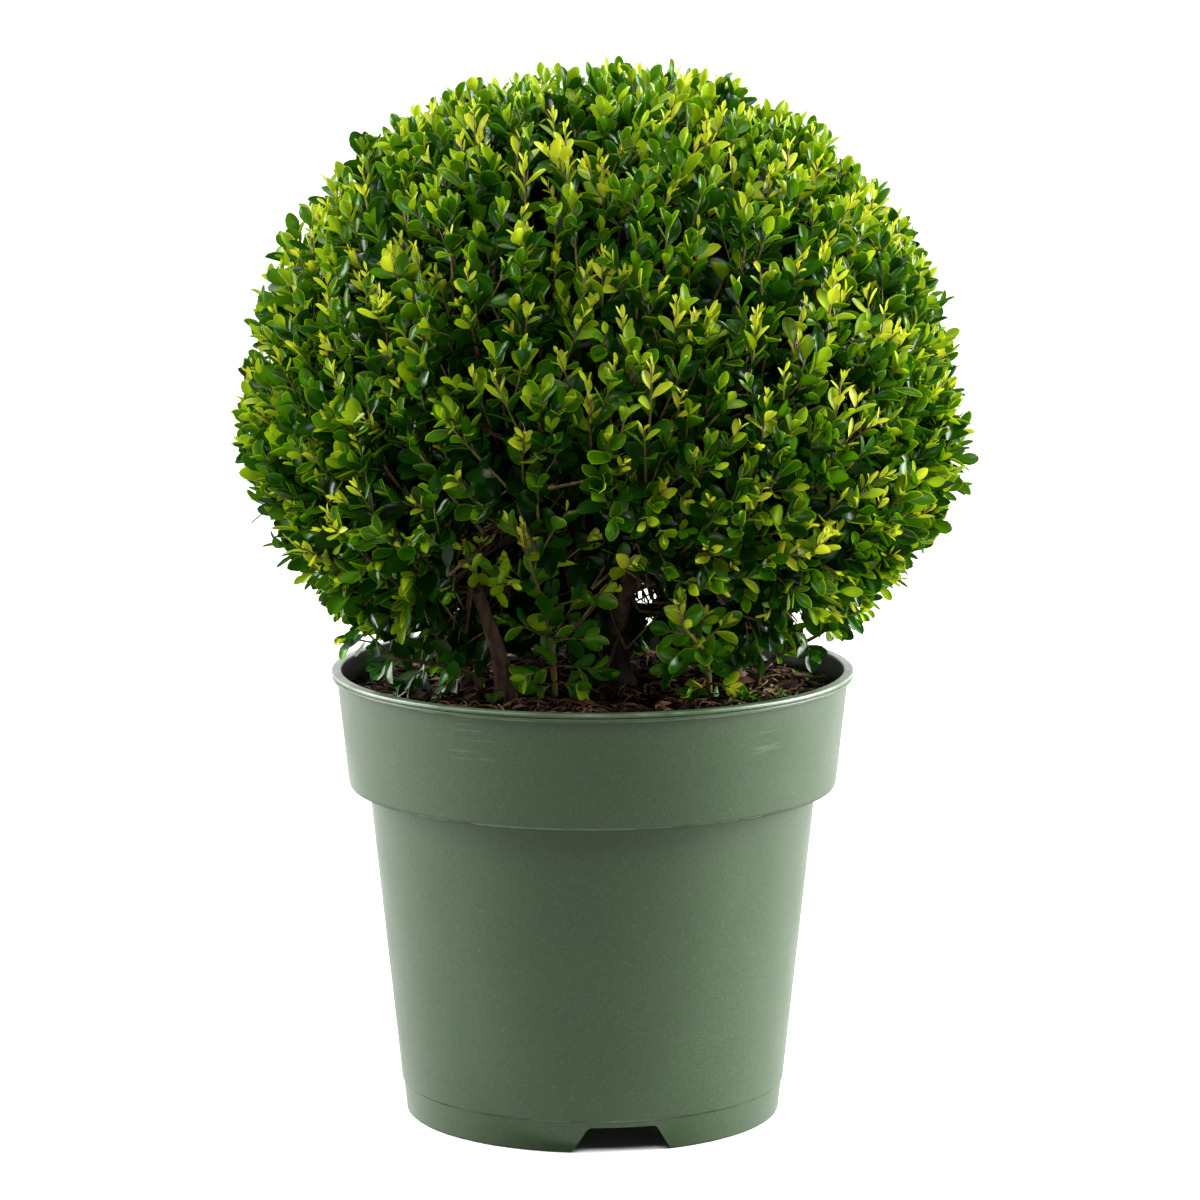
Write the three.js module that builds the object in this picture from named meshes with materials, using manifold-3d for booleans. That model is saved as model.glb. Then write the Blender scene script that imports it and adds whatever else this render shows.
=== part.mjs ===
// A clipped Japanese holly ball, growing in a green plastic nursery pot.
//
// Millimetres, +Z up. The origin is the middle of the pot's underside, and the front faces -Y.
// Several stems rise from the potting mix. Boughs lead from them to the masses of foliage that make up
// the ball. Each mass is a dense core that leafy twigs stand out of, and low shoots fill the space under it.

import * as THREE from "three";
import { mergeVertices } from "three/addons/utils/BufferGeometryUtils.js";
import Module from "manifold-3d";

const wasm = await Module();
wasm.setup();

// Driving dimensions

// The gap between two pieces that touch
const CLEAR = 0.3;

// Pot: a collared nursery pot, moulded with an even wall, on a notched foot ring
const POT_HEIGHT = 241;
const POT_SEGMENTS = 44;
const POT_WALL = 2.4;
const LIP_RADIUS = 140;
const LIP_HEIGHT = 4.6;
const COLLAR_TOP_RADIUS = 137;
const COLLAR_BOTTOM_RADIUS = 131;
const COLLAR_HEIGHT = 63;
const BODY_TOP_RADIUS = 120.6;
const FOOT_RADIUS = 101.5;
const FOOT_INSET = 0.8;
const FOOT_HEIGHT = 16.6;
const NOTCH_COUNT = 3;
const NOTCH_TURN = THREE.MathUtils.degToRad(9);
const NOTCH_HEIGHT = 13.6;
const NOTCH_TOP_WIDTH = 36;
const NOTCH_BOTTOM_WIDTH = 52;
const NOTCH_DEPTH = 20;
const DRAIN_HOLE_RADIUS = 8;
const DRAIN_HOLE_PLACE = 80;

// Potting mix, filled to a little under the lip
const SOIL_BELOW_LIP = 11;
const SOIL_EDGE_DROP = 3;
const SOIL_EDGE_WIDTH = 26;

// Stems and boughs, as [x, y] where they leave the potting mix
const TRUNK_FOOT = [8, 14];
const TRUNK_LEAN = [7, 4];
const TRUNK_HEIGHT = 58;
const TRUNK_RADIUS = 10;
const TRUNK_FLARE = 7;
const TRUNK_TIP_RADIUS = 8;
const LEADER_RADIUS = 7.8;
const STEM_FOOT_LEFT = [-46, -38];
const STEM_FOOT_RIGHT = [76, 16];
const STEM_RADIUS = 4.6;
const STEM_TIP_RADIUS = 3.2;
const STEM_FLARE = 2.6;
const BOUGH_RADIUS = 5.4;
const BOUGH_TIP_RADIUS = 3.2;

// Crown: a ball that is flatter below its middle, open underneath and round the stems
const CROWN_MIDDLE = new THREE.Vector3(2.5, 0, 374);
const CROWN_RADIUS = 196;
const CROWN_DEPTH_BELOW = 143;
const SKIRT_HEIGHT = 262;
const SKIRT_FRONT_LIFT = 38;
const MASS_SEAM = 0.8;

// Cores of the masses, as shares of the crown's radius where they follow it
const CORE_MIDDLE = 0.55;
const CORE_REACH = 0.86;
const CORE_BUMPS = 0.08;
const CORE_FLOOR = 302;
const CORE_SEAM = 1.5;
const CORE_DETAIL = 5;
const HOLLOW_RADIUS = 56;
const STEM_SHOWN = 7;
const STEM_SUNK = 24;

// Twigs and leaves
const TWIG_COUNT = 120;
const TWIG_SUNK = 18;
const TWIG_RADIUS = 2.1;
const TWIG_TIP_RADIUS = 1.3;
const TWIG_TIP_BELOW = 22;
const TWIG_DROOP = 0.1;
const LEAF_PLACES = [0.74, 0.88];
const LEAF_LENGTH = 42;
const LEAF_WIDTH = 28;
const LEAF_THICKNESS = 1.6;
const LEAF_WIDEST = 0.08;
const LEAF_FOLD = 0.14;
const LEAF_ROOT = 1.6;
const LEAF_LEAN = THREE.MathUtils.degToRad(60);
const TIP_LEAF_LEAN = THREE.MathUtils.degToRad(58.5);
const LEAF_TURN = THREE.MathUtils.degToRad(137.5);
const LEAF_TRIES = 8;
const LEAF_ROOM = 16;

// Low shoots: [x, y] of the foot, the tip, and the leaves on each
const SHOOT_RADIUS = 2.4;
const SHOOT_TIP_RADIUS = 1.2;
const SHOOT_LEAF_SHARE = 0.62;
const SHOOT_REACH = 24;
const SHOOT_FIRST_LEAF = 0.25;
const SHOOT_LAST_LEAF = 0.94;
const SHOOTS = [
  { name: "front_shoot", foot: [-20, -36], tip: [-30, -120, 290], leaves: 12 },
  { name: "right_front_shoot", foot: [62, -30], tip: [47, -116, 284], leaves: 10 },
  { name: "low_left_branch", foot: [-60, -20], tip: [-118, -42, 260], leaves: 9 },
  { name: "low_right_branch", foot: [88, -6], tip: [134, -26, 272], leaves: 9 },
];

const PLANT_SEED = 20;

// Sizes that follow from the driving dimensions

const SOIL_TOP = POT_HEIGHT - SOIL_BELOW_LIP;
const GROUND = SOIL_TOP + CLEAR;
const COLLAR_BOTTOM = POT_HEIGHT - COLLAR_HEIGHT;
const LIP_BOTTOM = POT_HEIGHT - LIP_HEIGHT;
const BASE_TOP = FOOT_HEIGHT + POT_WALL;
const UP = new THREE.Vector3(0, 0, 1);

// Materials

const material = (name, color, roughness) =>
  new THREE.MeshStandardMaterial({ name, color, roughness, metalness: 0 });
const POT_GREEN = material("pot_plastic", 0x5d7259, 0.55);
const SOIL_BROWN = material("potting_mix", 0x2b1d15, 0.95);
const BARK = material("bark", 0x4a3629, 0.9);
const FOLIAGE = material("foliage", 0x2f5a17, 0.45);
const SHOOT_GREEN = material("low_foliage", 0x27501a, 0.45);

// Solids

// A geometry's bare surface, with each corner that its faces share held once
function welded(geometry) {
  const bare = new THREE.BufferGeometry().setAttribute("position", geometry.getAttribute("position"));
  bare.setIndex(geometry.index);
  return mergeVertices(bare);
}

// A closed geometry as a solid that can be joined and cut
function solidOf(geometry) {
  const surface = welded(geometry);
  const vertProperties = surface.getAttribute("position").array;
  const triVerts = new Uint32Array(surface.index.array);
  return new wasm.Manifold(new wasm.Mesh({ numProp: 3, vertProperties, triVerts }));
}

// The solid's largest body as a geometry, so that loose scraps and sealed hollows are left out
function geometryOf(solid) {
  const bodies = solid.decompose().sort((a, b) => b.volume() - a.volume());
  const { vertProperties, triVerts } = bodies[0].getMesh();
  return new THREE.BufferGeometry()
    .setAttribute("position", new THREE.BufferAttribute(vertProperties, 3))
    .setIndex(new THREE.BufferAttribute(triVerts, 1));
}

function fuse(pieces) {
  return wasm.Manifold.union(pieces);
}

function node(name, geometry, finish) {
  const mesh = new THREE.Mesh(geometry, finish);
  mesh.name = name;
  return mesh;
}

// Random numbers from 0 to 1 that come out the same each time
function seeded(seed) {
  let state = seed;
  return () => {
    state = (state + 0x6d2b79f5) | 0;
    let mixed = Math.imul(state ^ (state >>> 15), 1 | state);
    mixed = (mixed + Math.imul(mixed ^ (mixed >>> 7), 61 | mixed)) ^ mixed;
    return ((mixed ^ (mixed >>> 14)) >>> 0) / 2 ** 32;
  };
}

// Pot and potting mix

// The radius of the pot's outer wall at a height, on the body or on the collar
function bodyRadius(z) {
  return THREE.MathUtils.mapLinear(z, 0, COLLAR_BOTTOM, FOOT_RADIUS, BODY_TOP_RADIUS);
}

function collarRadius(z) {
  return THREE.MathUtils.mapLinear(z, COLLAR_BOTTOM, LIP_BOTTOM, COLLAR_BOTTOM_RADIUS, COLLAR_TOP_RADIUS);
}

function lathe(profile) {
  const points = profile.map(([radius, z]) => new THREE.Vector2(radius, z));
  return new THREE.LatheGeometry(points, POT_SEGMENTS).rotateX(Math.PI / 2);
}

// The inside of the pot, kept a gap clear of its wall, from the floor's edge up to a height on the collar
function insideWall(gap, top) {
  const inner = POT_WALL + gap;
  const ledge = COLLAR_BOTTOM + inner;
  return [
    [bodyRadius(BASE_TOP) - inner, BASE_TOP + gap],
    [bodyRadius(ledge) - inner, ledge],
    [collarRadius(ledge) - inner, ledge],
    [collarRadius(top) - inner, top],
  ];
}

function potShell() {
  const lipTip = (LIP_RADIUS + collarRadius(LIP_BOTTOM) - POT_WALL) / 2;
  const footInside = bodyRadius(0) - FOOT_INSET - POT_WALL;
  return lathe([
    [0, FOOT_HEIGHT],
    [footInside, FOOT_HEIGHT],
    [footInside, 0],
    [bodyRadius(0) - FOOT_INSET, 0],
    [bodyRadius(FOOT_HEIGHT) - FOOT_INSET, FOOT_HEIGHT],
    [bodyRadius(FOOT_HEIGHT), FOOT_HEIGHT + FOOT_INSET],
    [bodyRadius(COLLAR_BOTTOM), COLLAR_BOTTOM],
    [collarRadius(COLLAR_BOTTOM), COLLAR_BOTTOM],
    [collarRadius(LIP_BOTTOM), LIP_BOTTOM],
    [LIP_RADIUS, LIP_BOTTOM],
    [LIP_RADIUS, POT_HEIGHT - LIP_HEIGHT / 3],
    [lipTip, POT_HEIGHT],
    ...insideWall(0, LIP_BOTTOM).reverse(),
    [0, BASE_TOP],
  ]);
}

// A notch in the foot ring, wider at the ground, with the drain hole that empties into it
function notchCutter() {
  const outline = new THREE.Shape();
  outline.moveTo(-NOTCH_BOTTOM_WIDTH / 2, -1);
  outline.lineTo(NOTCH_BOTTOM_WIDTH / 2, -1);
  outline.lineTo(NOTCH_TOP_WIDTH / 2, NOTCH_HEIGHT);
  outline.lineTo(-NOTCH_TOP_WIDTH / 2, NOTCH_HEIGHT);
  outline.closePath();
  const slot = new THREE.ExtrudeGeometry(outline, { depth: NOTCH_DEPTH, bevelEnabled: false });
  slot.rotateX(Math.PI / 2).translate(0, -FOOT_RADIUS + NOTCH_DEPTH / 2, 0);
  const drain = new THREE.CylinderGeometry(DRAIN_HOLE_RADIUS, DRAIN_HOLE_RADIUS, FOOT_HEIGHT, 12);
  drain.rotateX(Math.PI / 2).translate(0, -DRAIN_HOLE_PLACE, BASE_TOP);
  return solidOf(slot).add(solidOf(drain));
}

function pot() {
  let solid = solidOf(potShell());
  for (let i = 0; i < NOTCH_COUNT; i++) {
    const turn = NOTCH_TURN + (i * 2 * Math.PI) / NOTCH_COUNT;
    solid = solid.subtract(notchCutter().rotate([0, 0, THREE.MathUtils.radToDeg(turn)]));
  }
  return node("pot", geometryOf(solid), POT_GREEN);
}

function pottingMix() {
  const edge = SOIL_TOP - SOIL_EDGE_DROP;
  const wall = insideWall(CLEAR, edge);
  const rim = wall[wall.length - 1][0];
  const profile = [[0, BASE_TOP + CLEAR], ...wall, [rim - SOIL_EDGE_WIDTH, SOIL_TOP], [0, SOIL_TOP]];
  return node("potting_mix", lathe(profile), SOIL_BROWN);
}

// Limbs

// A round limb along a curve, with its radius given by a function of the place from the foot, 0, to the tip, 1
function limbGeometry(curve, radiusAt, sides, steps) {
  const geometry = new THREE.CylinderGeometry(1, 1, 1, sides, steps);
  const { normals, binormals } = curve.computeFrenetFrames(steps);
  const position = geometry.getAttribute("position");
  const place = new THREE.Vector3();
  for (let i = 0; i < position.count; i++) {
    const along = position.getY(i) + 0.5;
    const ring = Math.round(along * steps);
    const radius = radiusAt(along);
    curve.getPointAt(along, place);
    place.addScaledVector(binormals[ring], position.getX(i) * radius);
    place.addScaledVector(normals[ring], position.getZ(i) * radius);
    position.setXYZ(i, place.x, place.y, place.z);
  }
  return geometry;
}

const taper = (foot, tip) => (along) => THREE.MathUtils.lerp(foot, tip, along);

// A stem's radius where it spreads towards the ground
const flared = (foot, tip, flare) => (along) => taper(foot, tip)(along) + flare * (1 - along) ** 6;

// A curve that leaves its foot in one direction and arrives at its tip in another
function bend(foot, leave, tip, arrive) {
  const pull = foot.distanceTo(tip) / 3;
  const first = foot.clone().addScaledVector(leave, pull);
  const second = tip.clone().addScaledVector(arrive, -pull);
  return new THREE.CubicBezierCurve3(foot, first, second, tip);
}

const onGround = ([x, y]) => new THREE.Vector3(x, y, GROUND);

// Where limbs run, for the leaves to keep clear of
const limbPlaces = [];
function keepClearOf(curve, radius) {
  const spacing = 4;
  for (const point of curve.getSpacedPoints(Math.ceil(curve.getLength() / spacing)))
    limbPlaces.push({ point, radius });
}

// Crown

// How far the crown's surface lies from its middle in a direction
function crownReach(direction) {
  if (direction.z >= 0) return CROWN_RADIUS;
  const across = Math.hypot(direction.x, direction.y) / CROWN_RADIUS;
  return 1 / Math.hypot(across, direction.z / CROWN_DEPTH_BELOW);
}

// How low leaves hang at a place, measured from the crown's middle: higher at the front, where the stems show
function skirtAt(place) {
  const frontness = Math.max(0, -place.y / (Math.hypot(place.x, place.y) || 1));
  return SKIRT_HEIGHT + SKIRT_FRONT_LIFT * frontness ** 2 - CROWN_MIDDLE.z;
}

const aroundFromFront = (degrees) => {
  const turn = THREE.MathUtils.degToRad(degrees);
  return new THREE.Vector3(Math.sin(turn), -Math.cos(turn), 0);
};

// The masses that share the ball: each holds the part that its axis points at most nearly
const MASSES = [
  { name: "crown_front_left", axis: aroundFromFront(-50) },
  { name: "crown_front", axis: aroundFromFront(22) },
  { name: "crown_right", axis: aroundFromFront(94) },
  { name: "crown_back", axis: aroundFromFront(166) },
  { name: "crown_back_left", axis: aroundFromFront(238) },
  { name: "crown_top", axis: UP.clone() },
];

// How far inside its mass a place lies, measured from the seam with the nearest other mass
function insideSeam(mass, place) {
  const others = MASSES.filter((other) => other !== mass);
  const depths = others.map((other) => place.dot(mass.axis.clone().sub(other.axis).normalize()));
  return Math.min(...depths);
}

function insideMass(mass, place) {
  return (
    place.length() <= crownReach(place.clone().normalize()) &&
    place.z >= skirtAt(place) &&
    insideSeam(mass, place) >= MASS_SEAM
  );
}

// The core leaves the middle of the ball hollow, down to the stems
function insideCore(mass, place) {
  const hollow = place.z < 0 ? Math.hypot(place.x, place.y) : place.length();
  return (
    hollow >= HOLLOW_RADIUS &&
    place.length() <= CORE_REACH * crownReach(place.clone().normalize()) &&
    place.z >= CORE_FLOOR - CROWN_MIDDLE.z &&
    insideSeam(mass, place) >= CORE_SEAM
  );
}

const coreMiddle = (mass) => mass.axis.clone().multiplyScalar(CORE_MIDDLE * CROWN_RADIUS);

// How far the core's surface lies from the core's middle in a direction
function coreReach(mass, direction) {
  const step = 0.5;
  const middle = coreMiddle(mass);
  let reach = 0;
  while (insideCore(mass, middle.clone().addScaledVector(direction, reach + step))) reach += step;
  return reach;
}

// All the cores in one piece: a bumpy ball, level underneath and hollow round the limbs
function wholeCore(random) {
  const geometry = welded(new THREE.IcosahedronGeometry(1, CORE_DETAIL));
  const position = geometry.getAttribute("position");
  for (let i = 0; i < position.count; i++) {
    const direction = new THREE.Vector3().fromBufferAttribute(position, i).normalize();
    const reach = CORE_REACH * crownReach(direction) * (1 - CORE_BUMPS * random());
    const place = direction.multiplyScalar(reach);
    position.setXYZ(i, place.x, place.y, place.z);
  }
  const below = 2 * CROWN_RADIUS;
  const hollow = new THREE.CapsuleGeometry(HOLLOW_RADIUS, below, 3, 10).rotateX(Math.PI / 2);
  const ground = new THREE.BoxGeometry(2 * below, 2 * below, below);
  hollow.translate(0, 0, -below / 2);
  ground.translate(0, 0, CORE_FLOOR - CROWN_MIDDLE.z - below / 2);
  return solidOf(geometry).subtract(solidOf(hollow)).subtract(solidOf(ground));
}

// All space on one side of a seam between two masses
function sideOfSeam(mass, other) {
  const size = 4 * CROWN_RADIUS;
  const towards = mass.axis.clone().sub(other.axis).normalize();
  const box = new THREE.BoxGeometry(size, size, size).translate(0, 0, size / 2 + CORE_SEAM);
  return solidOf(box.applyQuaternion(new THREE.Quaternion().setFromUnitVectors(UP, towards)));
}

function coreOf(mass, whole) {
  const others = MASSES.filter((other) => other !== mass);
  return others.reduce((core, other) => core.intersect(sideOfSeam(mass, other)), whole);
}

// Where a mass's own stem begins, just outside its core, on the way in from where its limb comes from
function entryOf(mass, from) {
  const middle = coreMiddle(mass).add(CROWN_MIDDLE);
  const inward = middle.clone().sub(from).normalize();
  const reach = coreReach(mass, inward.clone().negate()) + STEM_SHOWN;
  return { place: middle.addScaledVector(inward, -reach), inward };
}

// Leaves and twigs

// A leaf as a thin eight-faced blade: its root at the origin, its tip along +X, its upper side to +Z
function leafGeometry(length, width) {
  const geometry = new THREE.OctahedronGeometry(1);
  const position = geometry.getAttribute("position");
  for (let i = 0; i < position.count; i++) {
    const along = (position.getX(i) + 1) / 2 + LEAF_WIDEST * (1 - Math.abs(position.getX(i)));
    const across = (position.getY(i) * width) / 2;
    const above = (position.getZ(i) * LEAF_THICKNESS) / 2 + LEAF_FOLD * Math.abs(across);
    position.setXYZ(i, along * length, across, above);
  }
  return geometry;
}

// A leaf at a place on a twig, leaning out from the twig's direction on the side that the turn gives
function placedLeaf(place, twigDirection, turn, lean, size) {
  const aside = new THREE.Vector3(1, 0, 0).cross(twigDirection).normalize();
  aside.applyAxisAngle(twigDirection, turn);
  const out = twigDirection.clone().multiplyScalar(Math.cos(lean)).addScaledVector(aside, Math.sin(lean));
  const edge = twigDirection.clone().cross(out).normalize();
  const face = out.clone().cross(edge);
  const root = place.clone().addScaledVector(out, -LEAF_ROOT);
  const matrix = new THREE.Matrix4().makeBasis(out, edge, face).setPosition(root);
  return leafGeometry(LEAF_LENGTH * size, LEAF_WIDTH * size).applyMatrix4(matrix);
}

// Places all over a leaf: each face's corners, the middles of its sides and its centre
function placesOn(geometry) {
  const position = geometry.getAttribute("position");
  const places = [];
  for (let i = 0; i < position.count; i += 3) {
    const [a, b, c] = [i, i + 1, i + 2].map((k) => new THREE.Vector3().fromBufferAttribute(position, k));
    const middles = [a.clone().lerp(b, 0.5), b.clone().lerp(c, 0.5), c.clone().lerp(a, 0.5)];
    places.push(a, b, c, ...middles, middles[0].clone().lerp(c, 1 / 3));
  }
  return places;
}

function clearOfLimbs(places) {
  const margin = 2.4;
  return places.every((place) =>
    limbPlaces.every(({ point, radius }) => place.distanceTo(point) > radius + margin),
  );
}

// Where the blades of the leaves so far have their middles
const bladeMiddles = [];

function roomAround(place) {
  return Math.min(Infinity, ...bladeMiddles.map((middle) => middle.distanceTo(place)));
}

// Of a few leaves, each turned further round the twig, the one with most room among those that pass the test
function fittingLeaf(place, twigDirection, turn, lean, size, origin, passes) {
  let best = { room: LEAF_ROOM * size, leaf: null };
  for (let attempt = 0; attempt < LEAF_TRIES; attempt++) {
    const leaf = placedLeaf(place, twigDirection, turn + (attempt * 2 * Math.PI) / LEAF_TRIES, lean, size);
    leaf.computeBoundingBox();
    const middle = leaf.boundingBox.getCenter(new THREE.Vector3()).add(origin);
    const room = roomAround(middle);
    if (room > best.room && passes(placesOn(leaf))) best = { room, leaf, middle };
  }
  if (best.leaf) bladeMiddles.push(best.middle);
  return best.leaf;
}

// A twig's solids: its wood, leaves in a spiral along it, and a leaf at its tip
function leafyTwig(curve, radii, places, size, random, origin, passes) {
  const pieces = [solidOf(limbGeometry(curve, taper(...radii), 3, 2))];
  let turn = random() * 2 * Math.PI;
  for (const along of [...places, 1]) {
    const lean = along < 1 ? LEAF_LEAN : TIP_LEAF_LEAN;
    const [place, direction] = [curve.getPointAt(along), curve.getTangentAt(along)];
    turn += LEAF_TURN;
    const leaf = fittingLeaf(place, direction, turn, lean, size, origin, passes);
    if (leaf) pieces.push(solidOf(leaf));
  }
  return pieces;
}

// Directions spread evenly over a sphere
function evenDirections(count) {
  const golden = Math.PI * (3 - Math.sqrt(5));
  return Array.from({ length: count }, (_, i) => {
    const z = 1 - (2 * i + 1) / count;
    const across = Math.sqrt(1 - z * z);
    return new THREE.Vector3(across * Math.cos(golden * i), across * Math.sin(golden * i), z);
  });
}

// A twig that leaves the core towards a place under the crown's surface and lifts its tip
function twigCurve(mass, direction) {
  const middle = coreMiddle(mass);
  const tip = direction.clone().multiplyScalar(crownReach(direction) - TWIG_TIP_BELOW);
  const way = tip.clone().sub(middle).normalize();
  const foot = middle.addScaledVector(way, coreReach(mass, way) - TWIG_SUNK);
  const between = foot.clone().lerp(tip, 0.5).addScaledVector(UP, -TWIG_DROOP * foot.distanceTo(tip));
  return new THREE.QuadraticBezierCurve3(foot, between, tip);
}

// A mass of foliage, placed from the crown's middle, whose stem carries on from its limb
function foliageMass(mass, core, entry, seed) {
  const random = seeded(seed);
  const passes = (places) =>
    places.every((place) => insideMass(mass, place)) &&
    clearOfLimbs(places.map((place) => place.clone().add(CROWN_MIDDLE)));
  const stemFoot = entry.place.clone().addScaledVector(entry.inward, CLEAR).sub(CROWN_MIDDLE);
  const stemTip = stemFoot.clone().addScaledVector(entry.inward, STEM_SHOWN + STEM_SUNK);
  const stem = new THREE.LineCurve3(stemFoot, stemTip);
  const pieces = [
    core,
    solidOf(limbGeometry(stem, taper(BOUGH_TIP_RADIUS, TWIG_RADIUS), 6, 1)),
  ];
  for (const direction of evenDirections(TWIG_COUNT)) {
    const curve = twigCurve(mass, direction);
    const own = insideMass(mass, curve.getPointAt(1)) && insideMass(mass, curve.getPointAt(0.5));
    if (!own || !passes(curve.getPoints(12))) continue;
    const radii = [TWIG_RADIUS, TWIG_TIP_RADIUS];
    pieces.push(...leafyTwig(curve, radii, LEAF_PLACES, 1, random, CROWN_MIDDLE, passes));
  }
  return node(mass.name, geometryOf(fuse(pieces)), FOLIAGE);
}

// Low shoots

function shootCurve({ foot, tip }) {
  const ground = onGround(foot);
  const end = new THREE.Vector3(...tip);
  const outward = end.clone().sub(ground).setZ(0).normalize();
  return bend(ground, UP, end, outward.add(UP).normalize());
}

function lowShoot(shoot, seed) {
  const curve = shootCurve(shoot);
  const random = seeded(seed);
  const others = SHOOTS.filter((other) => other !== shoot).map(shootCurve);
  const passes = (places) =>
    places.every((place) => place.z > GROUND + 1) &&
    places.every((place) => Math.hypot(place.x, place.y) < LIP_RADIUS || place.z > POT_HEIGHT + 1) &&
    places.every((place) => others.every((other) => place.distanceTo(other.getPointAt(1)) > SHOOT_REACH)) &&
    clearOfLimbs(places);
  const places = Array.from({ length: shoot.leaves - 1 }, (_, i) =>
    THREE.MathUtils.lerp(SHOOT_FIRST_LEAF, SHOOT_LAST_LEAF, i / (shoot.leaves - 2)),
  );
  const radii = [SHOOT_RADIUS, SHOOT_TIP_RADIUS];
  const origin = new THREE.Vector3();
  const pieces = leafyTwig(curve, radii, places, SHOOT_LEAF_SHARE, random, origin, passes);
  pieces[0] = solidOf(limbGeometry(curve, taper(...radii), 5, 6));
  return node(shoot.name, geometryOf(fuse(pieces)), SHOOT_GREEN);
}

// The plant

const massNamed = (name) => MASSES.find((mass) => mass.name === name);
const plant = new THREE.Group();
const crown = new THREE.Group();
crown.position.copy(CROWN_MIDDLE);
plant.add(crown);

const trunkFoot = onGround(TRUNK_FOOT);
const trunkTip = trunkFoot.clone().add(new THREE.Vector3(...TRUNK_LEAN, TRUNK_HEIGHT));
const trunkCurve = bend(trunkFoot, UP, trunkTip, UP);
const trunkRadius = flared(TRUNK_RADIUS, TRUNK_TIP_RADIUS, TRUNK_FLARE);
plant.add(node("trunk", limbGeometry(trunkCurve, trunkRadius, 10, 8), BARK));
keepClearOf(trunkCurve, TRUNK_RADIUS);

// Stems that rise straight from the ground to their own mass
const entries = new Map();
const STEMS = [
  { name: "left_stem", foot: STEM_FOOT_LEFT, mass: "crown_front_left" },
  { name: "right_stem", foot: STEM_FOOT_RIGHT, mass: "crown_right" },
];
for (const { name, foot, mass } of STEMS) {
  const ground = onGround(foot);
  const entry = entryOf(massNamed(mass), ground);
  const curve = bend(ground, UP, entry.place, entry.inward);
  const radius = flared(STEM_RADIUS, STEM_TIP_RADIUS, STEM_FLARE);
  plant.add(node(name, limbGeometry(curve, radius, 8, 8), BARK));
  keepClearOf(curve, STEM_RADIUS);
  entries.set(mass, entry);
}

// Boughs that leave the trunk at different heights, one for each mass that has no stem of its own
const BOUGHS = [
  { name: "front_bough", leaves: 0.46, mass: "crown_front" },
  { name: "back_left_bough", leaves: 0.54, mass: "crown_back_left" },
  { name: "back_bough", leaves: 0.62, mass: "crown_back" },
];
const trunkSpace = solidOf(
  limbGeometry(trunkCurve, (along) => trunkRadius(along) + CLEAR, 10, 8).translate(0, 0, CLEAR / 2),
);
for (const { name, leaves, mass } of BOUGHS) {
  const fork = trunkCurve.getPointAt(leaves);
  const entry = entryOf(massNamed(mass), fork);
  const outward = entry.place.clone().sub(fork).setZ(0).normalize();
  const curve = bend(fork, outward.add(UP).normalize(), entry.place, entry.inward);
  const whole = solidOf(limbGeometry(curve, taper(BOUGH_RADIUS, BOUGH_TIP_RADIUS), 8, 7));
  plant.add(node(name, geometryOf(whole.subtract(trunkSpace)), BARK));
  keepClearOf(curve, BOUGH_RADIUS);
  entries.set(mass, entry);
}

// The leader, which carries on from the trunk's tip to the top of the ball
const leaderFoot = trunkTip.clone().addScaledVector(UP, CLEAR);
const leaderEntry = entryOf(massNamed("crown_top"), leaderFoot);
const leaderCurve = bend(leaderFoot, UP, leaderEntry.place, leaderEntry.inward);
const leaderRadius = taper(LEADER_RADIUS, BOUGH_TIP_RADIUS);
plant.add(node("leader", limbGeometry(leaderCurve, leaderRadius, 8, 8), BARK));
keepClearOf(leaderCurve, TRUNK_RADIUS);
entries.set("crown_top", leaderEntry);

SHOOTS.forEach((shoot, i) => plant.add(lowShoot(shoot, PLANT_SEED + MASSES.length + i)));
for (const shoot of SHOOTS) keepClearOf(shootCurve(shoot), SHOOT_REACH);

const cores = wholeCore(seeded(PLANT_SEED));
MASSES.forEach((mass, i) =>
  crown.add(foliageMass(mass, coreOf(mass, cores), entries.get(mass.name), PLANT_SEED + i)),
);

const holly = new THREE.Group();
holly.add(pot(), pottingMix(), plant);
export default holly;
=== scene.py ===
"""A clipped Japanese holly ball in a green nursery pot: its looks, in the frame of its solids."""

import math
from itertools import combinations, repeat

import bpy
import numpy as np
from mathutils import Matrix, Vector, noise


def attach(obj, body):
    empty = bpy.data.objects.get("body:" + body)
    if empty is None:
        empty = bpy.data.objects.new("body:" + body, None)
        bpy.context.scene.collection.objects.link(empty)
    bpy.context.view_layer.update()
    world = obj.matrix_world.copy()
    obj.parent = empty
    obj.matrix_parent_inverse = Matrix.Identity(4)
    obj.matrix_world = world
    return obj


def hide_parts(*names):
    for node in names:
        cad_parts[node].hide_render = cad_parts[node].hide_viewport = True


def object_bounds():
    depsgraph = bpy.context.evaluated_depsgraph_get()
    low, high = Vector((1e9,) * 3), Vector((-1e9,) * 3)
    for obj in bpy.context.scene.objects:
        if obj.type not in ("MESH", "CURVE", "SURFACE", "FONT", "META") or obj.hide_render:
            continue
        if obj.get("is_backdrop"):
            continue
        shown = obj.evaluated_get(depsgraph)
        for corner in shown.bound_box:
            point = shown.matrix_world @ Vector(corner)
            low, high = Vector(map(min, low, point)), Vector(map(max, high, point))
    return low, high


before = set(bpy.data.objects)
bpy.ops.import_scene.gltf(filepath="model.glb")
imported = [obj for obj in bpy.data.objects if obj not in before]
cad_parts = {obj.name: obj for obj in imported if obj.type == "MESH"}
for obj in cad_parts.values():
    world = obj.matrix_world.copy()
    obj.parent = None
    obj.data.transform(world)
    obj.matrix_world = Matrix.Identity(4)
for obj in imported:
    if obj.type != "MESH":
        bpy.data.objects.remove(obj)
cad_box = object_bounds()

# Sizes in millimetres, shared with the solids

MM = 0.001
UP = np.array([0.0, 0.0, 1.0])
FLAT = np.array([1.0, 1.0, 0.0])
CLEAR = 0.3

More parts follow.
